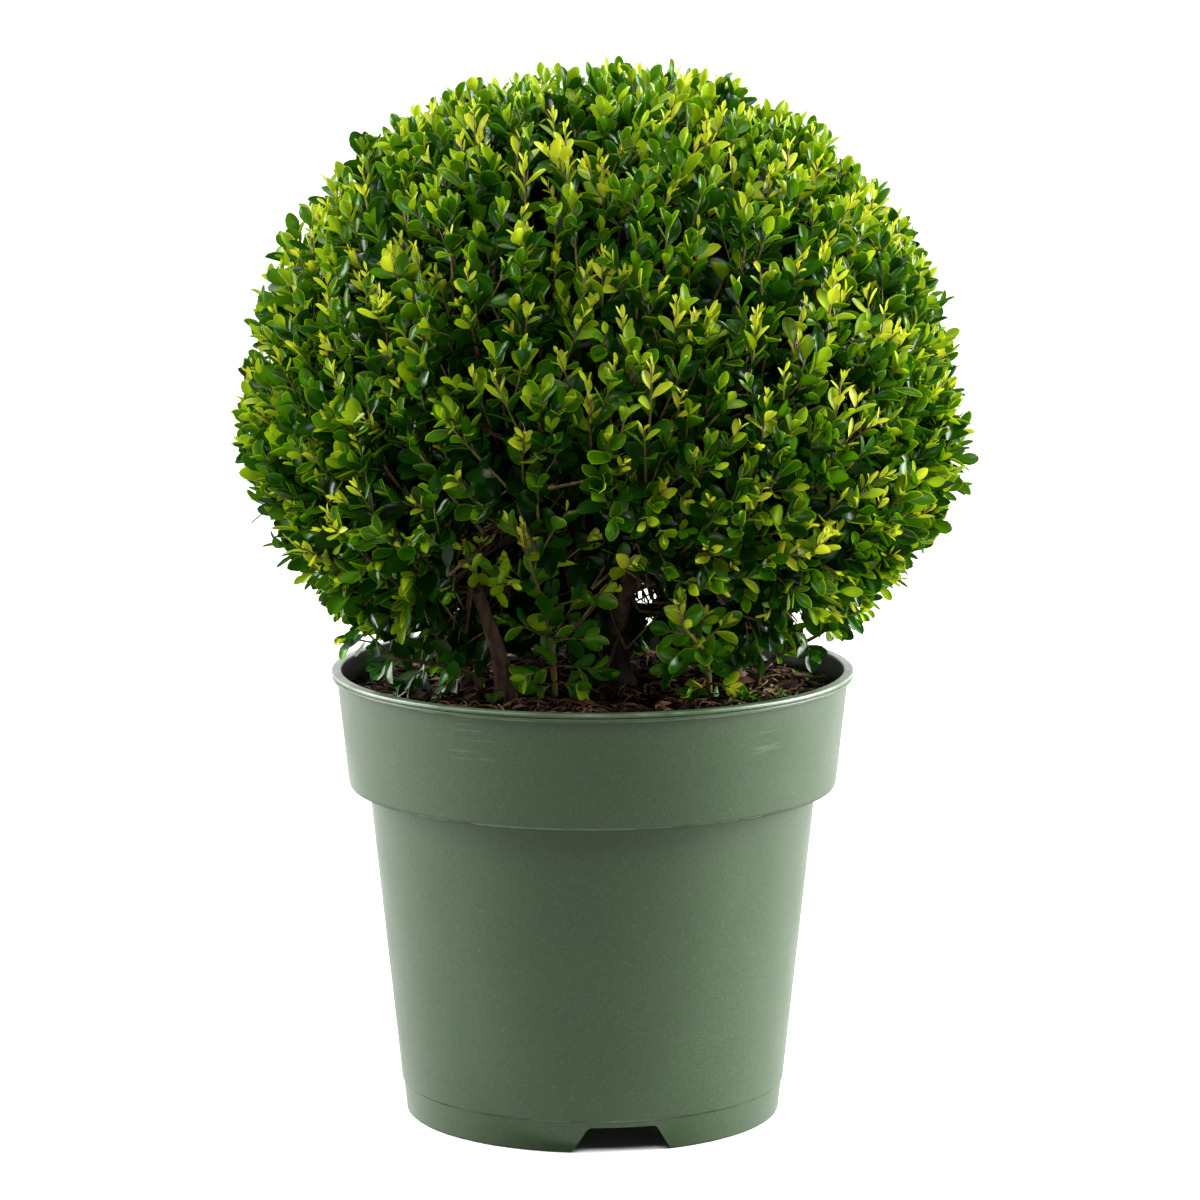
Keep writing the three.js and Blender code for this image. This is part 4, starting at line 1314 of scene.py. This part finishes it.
# The foot that the tuft's sprigs share, with its depth, and their tips in the photo's frame, with theirs
TUFT_FOOT = (485, 592, -55.0)
TUFT_TIPS = [(479, 540), (461, 548), (501, 556), (512, 584), (470, 566)]
TUFT_DEPTH = -120.0
TUFT_LEAF_WIDTH = 0.37
TUFT_BULGE = 3.0
BARE_BELOW = 0.36


def make_shoots():
    for name, (place, end, count, flush, shade, size, hang, bare) in SHOOTS.items():
        foot, tip = np.array([*place, GROUND]), np.array(end, float)
        outward = unit((tip - foot) * FLAT)
        facing = unit(outward + TO_FRONT)
        path = bend(foot, UP, tip, unit(outward * 0.8 + UP), SHOOT_RINGS)
        radii = np.linspace(*SHOOT_RADII, SHOOT_RINGS)
        wood, green = Parts(), Parts()
        wood.add(*tubes(path[None], radii[None], 8), repeat(0 if hang else 1))
        look = {"width": SHOOT_LEAF_WIDTH, "hang": hang}
        for half, young, first in ((path[: SHOOT_HALF + 1], 0.1, bare), (path[SHOOT_HALF:], flush, 0.0)):
            start, between, end_at = half[[0, SHOOT_HALF // 2, SHOOT_HALF]]
            bent = 2 * between - (start + end_at) / 2
            values = (start, bent, end_at, young, size, facing, shade)
            main = Sprigs(*(np.array([value]) for value in values))
            main.leaves(green, count // 2, NOWHERE, clear_of_gaps, first, **look)
        share, column, row, young = np.array(SIDE_SPRIGS[name]).T
        start = path[np.round(share * (SHOOT_RINGS - 1)).astype(int)]
        spots = zip(column, row, start[:, 1] - SIDE_SPRIG_NEARER)
        end_at = np.array([at_depth(*spot) for spot in spots])
        middle = (start + end_at) / 2 + UP * norm(end_at - start) * 0.06
        sizes = size * rng.uniform(0.92, 1.08, len(start))
        shades = shade + OLD_SHADE * (young < LITTLE_YOUNG) + rng.normal(0, 0.03, len(start))
        side = Sprigs(start, middle, end_at, young, sizes, np.tile(facing, (len(start), 1)), shades)
        side.stems(wood, 0.95, 5)
        side.leaves(green, 7, NOWHERE, clear_of_gaps, BARE_BELOW, **look)
        # The low shoots' leaves take the colours brightened as painted light
        leafy_pieces(name, wood, green, LOW_LEAVES_PAINTED_LIGHT, "low_foliage")


def make_tuft():
    tip = np.array([at_depth(*spot, TUFT_DEPTH) for spot in TUFT_TIPS])
    foot = np.tile(at_depth(*TUFT_FOOT), (len(tip), 1))
    middle = (foot + tip) / 2 + UP * TUFT_BULGE
    # Painted light: a negative shade and the brightened low-leaf colours, for the light that the crown's
    # overhang keeps off the tuft
    flush, size, shade = (np.full(len(tip), value) for value in (0.15, 0.88, -0.27))
    sprigs = Sprigs(foot, middle, tip, flush, size, unit(tip - CROWN_MIDDLE), shade)
    wood, green = Parts(), Parts()
    sprigs.stems(wood, 1.05)
    sprigs.leaves(green, 6, NOWHERE, clear_of_gaps, BARE_BELOW, TUFT_LEAF_WIDTH)
    leafy_pieces("left_stem", wood, green, LOW_LEAVES_PAINTED_LIGHT, "low_foliage")


# Light and stage, in metres

WHITE = (1, 1, 1, 1)
FLOOR_COLOUR = (0.92, 0.92, 0.92, 1)
FLOOR_HALF = 30.0
FLOOR_HEIGHT = -0.0004
# Place, aim, size and power
LIGHTS = {
    "left_softbox": ((-1.8, 0.30, 0.75), (0, 0, 0.32), (1.3, 1.6), 94),
    "right_softbox": ((1.9, 0.25, 0.75), (0, 0, 0.32), (1.3, 1.6), 160),
    "front_softbox": ((0, -1.15, 1.75), (0, 0, 0.38), (1.2, 0.8), 21),
    "front_fill": ((0, -2.2, 0.36), (0, 0, 0.30), (1.6, 0.5), 12),
    "floor_bounce": ((0, -0.334, 0.003), (0, -0.334, 1.0), (1.0, 0.46), 1.1),
}


def make_world():
    """A white studio: bright behind and above the plant, dim from the camera's side and from below.

    Glossy rays, up to their second bounce, also see a bright floor.
    """
    world = bpy.data.worlds.new("studio")
    bpy.context.scene.world = world
    world.use_nodes = True
    sky = Nodes(world.node_tree)
    way = sky.add("SeparateXYZ", {0: sky.add("TexCoord").outputs["Generated"]}).outputs
    rays = sky.add("LightPath").outputs
    behind = sky.step(way["Y"], -0.20, 0.45, 0.03, 2.4)
    above = sky.step(way["Z"], 0.62, 0.86, 0.0, 1.55)
    below = sky.step(way["Z"], -0.12, 0.02, 0.02, 1.0)
    floor_seen = sky.step(way["Y"], -0.95, -0.15, 0.10, 1.8)
    under = sky.step(way["Z"], -0.12, 0.02, 1.0, 0.0)
    slanting = sky.step(way["Z"], -0.62, -0.24, 0.15, 1.0)
    shallow = sky.step(rays["Ray Depth"], 2.4, 2.6, 1.0, 0.0)
    floor_gloss = sky.times(sky.times(floor_seen, under), slanting)
    gloss = sky.times(floor_gloss, sky.times(rays["Is Glossy Ray"], shallow))
    strength = sky.math("ADD", sky.times(behind, below), sky.math("ADD", above, gloss))
    lit = sky.nodes["Background"]
    sky.feed(WHITE, lit.inputs["Color"])
    sky.feed(strength, lit.inputs["Strength"])
    seen = sky.add("Background", {"Color": WHITE, "Strength": 1.0})
    mixed = sky.add("MixShader", {0: rays["Is Camera Ray"], 1: lit.outputs[0], 2: seen.outputs[0]})
    sky.feed(mixed.outputs[0], sky.nodes["World Output"].inputs["Surface"])
    view = bpy.context.scene.view_settings
    view.view_transform = "Standard"
    view.look = "None"


def make_lights():
    for name, (place, aim, size, power) in LIGHTS.items():
        data = bpy.data.lights.new(name, "AREA")
        data.shape = "RECTANGLE"
        data.size, data.size_y = size
        data.energy = power
        light = in_scene(name, data)
        light.location = place
        light.rotation_euler = (Vector(aim) - Vector(place)).to_track_quat("-Z", "Y").to_euler()
        light.visible_camera = False


def make_stage():
    """A floor that only the camera sees. The front fill leaves it unlit, so the drain notch stays dark."""
    corners = [(x * FLOOR_HALF, y * FLOOR_HALF, 0) for x, y in ((-1, -1), (1, -1), (1, 1), (-1, 1))]
    mesh = bpy.data.meshes.new("floor")
    mesh.from_pydata(corners, [], [(0, 1, 2, 3)])
    shader = Shader("floor_white", Base_Color=FLOOR_COLOUR, Roughness=0.9, Specular_IOR_Level=0.0)
    mesh.materials.append(shader.material)
    floor = in_scene("floor", mesh)
    floor.location.z = FLOOR_HEIGHT
    for rays in ("diffuse", "glossy", "transmission", "shadow"):
        setattr(floor, "visible_" + rays, False)
    floor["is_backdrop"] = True
    unlit = bpy.data.collections.new("not_filled")
    unlit.objects.link(floor)
    bpy.data.objects["front_fill"].light_linking.receiver_collection = unlit
    unlit.collection_objects[0].light_linking.link_state = "EXCLUDE"


make_camera()
make_world()
make_lights()
make_stage()
make_pot()
make_soil()
make_chips()
make_fibres()
make_fallen_leaves()
make_moss()
make_crown(make_limbs())
make_shoots()
make_tuft()

boxes = {"cad": cad_box, "visual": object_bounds()}
{key: [list(corner) for corner in box] for key, box in boxes.items()}
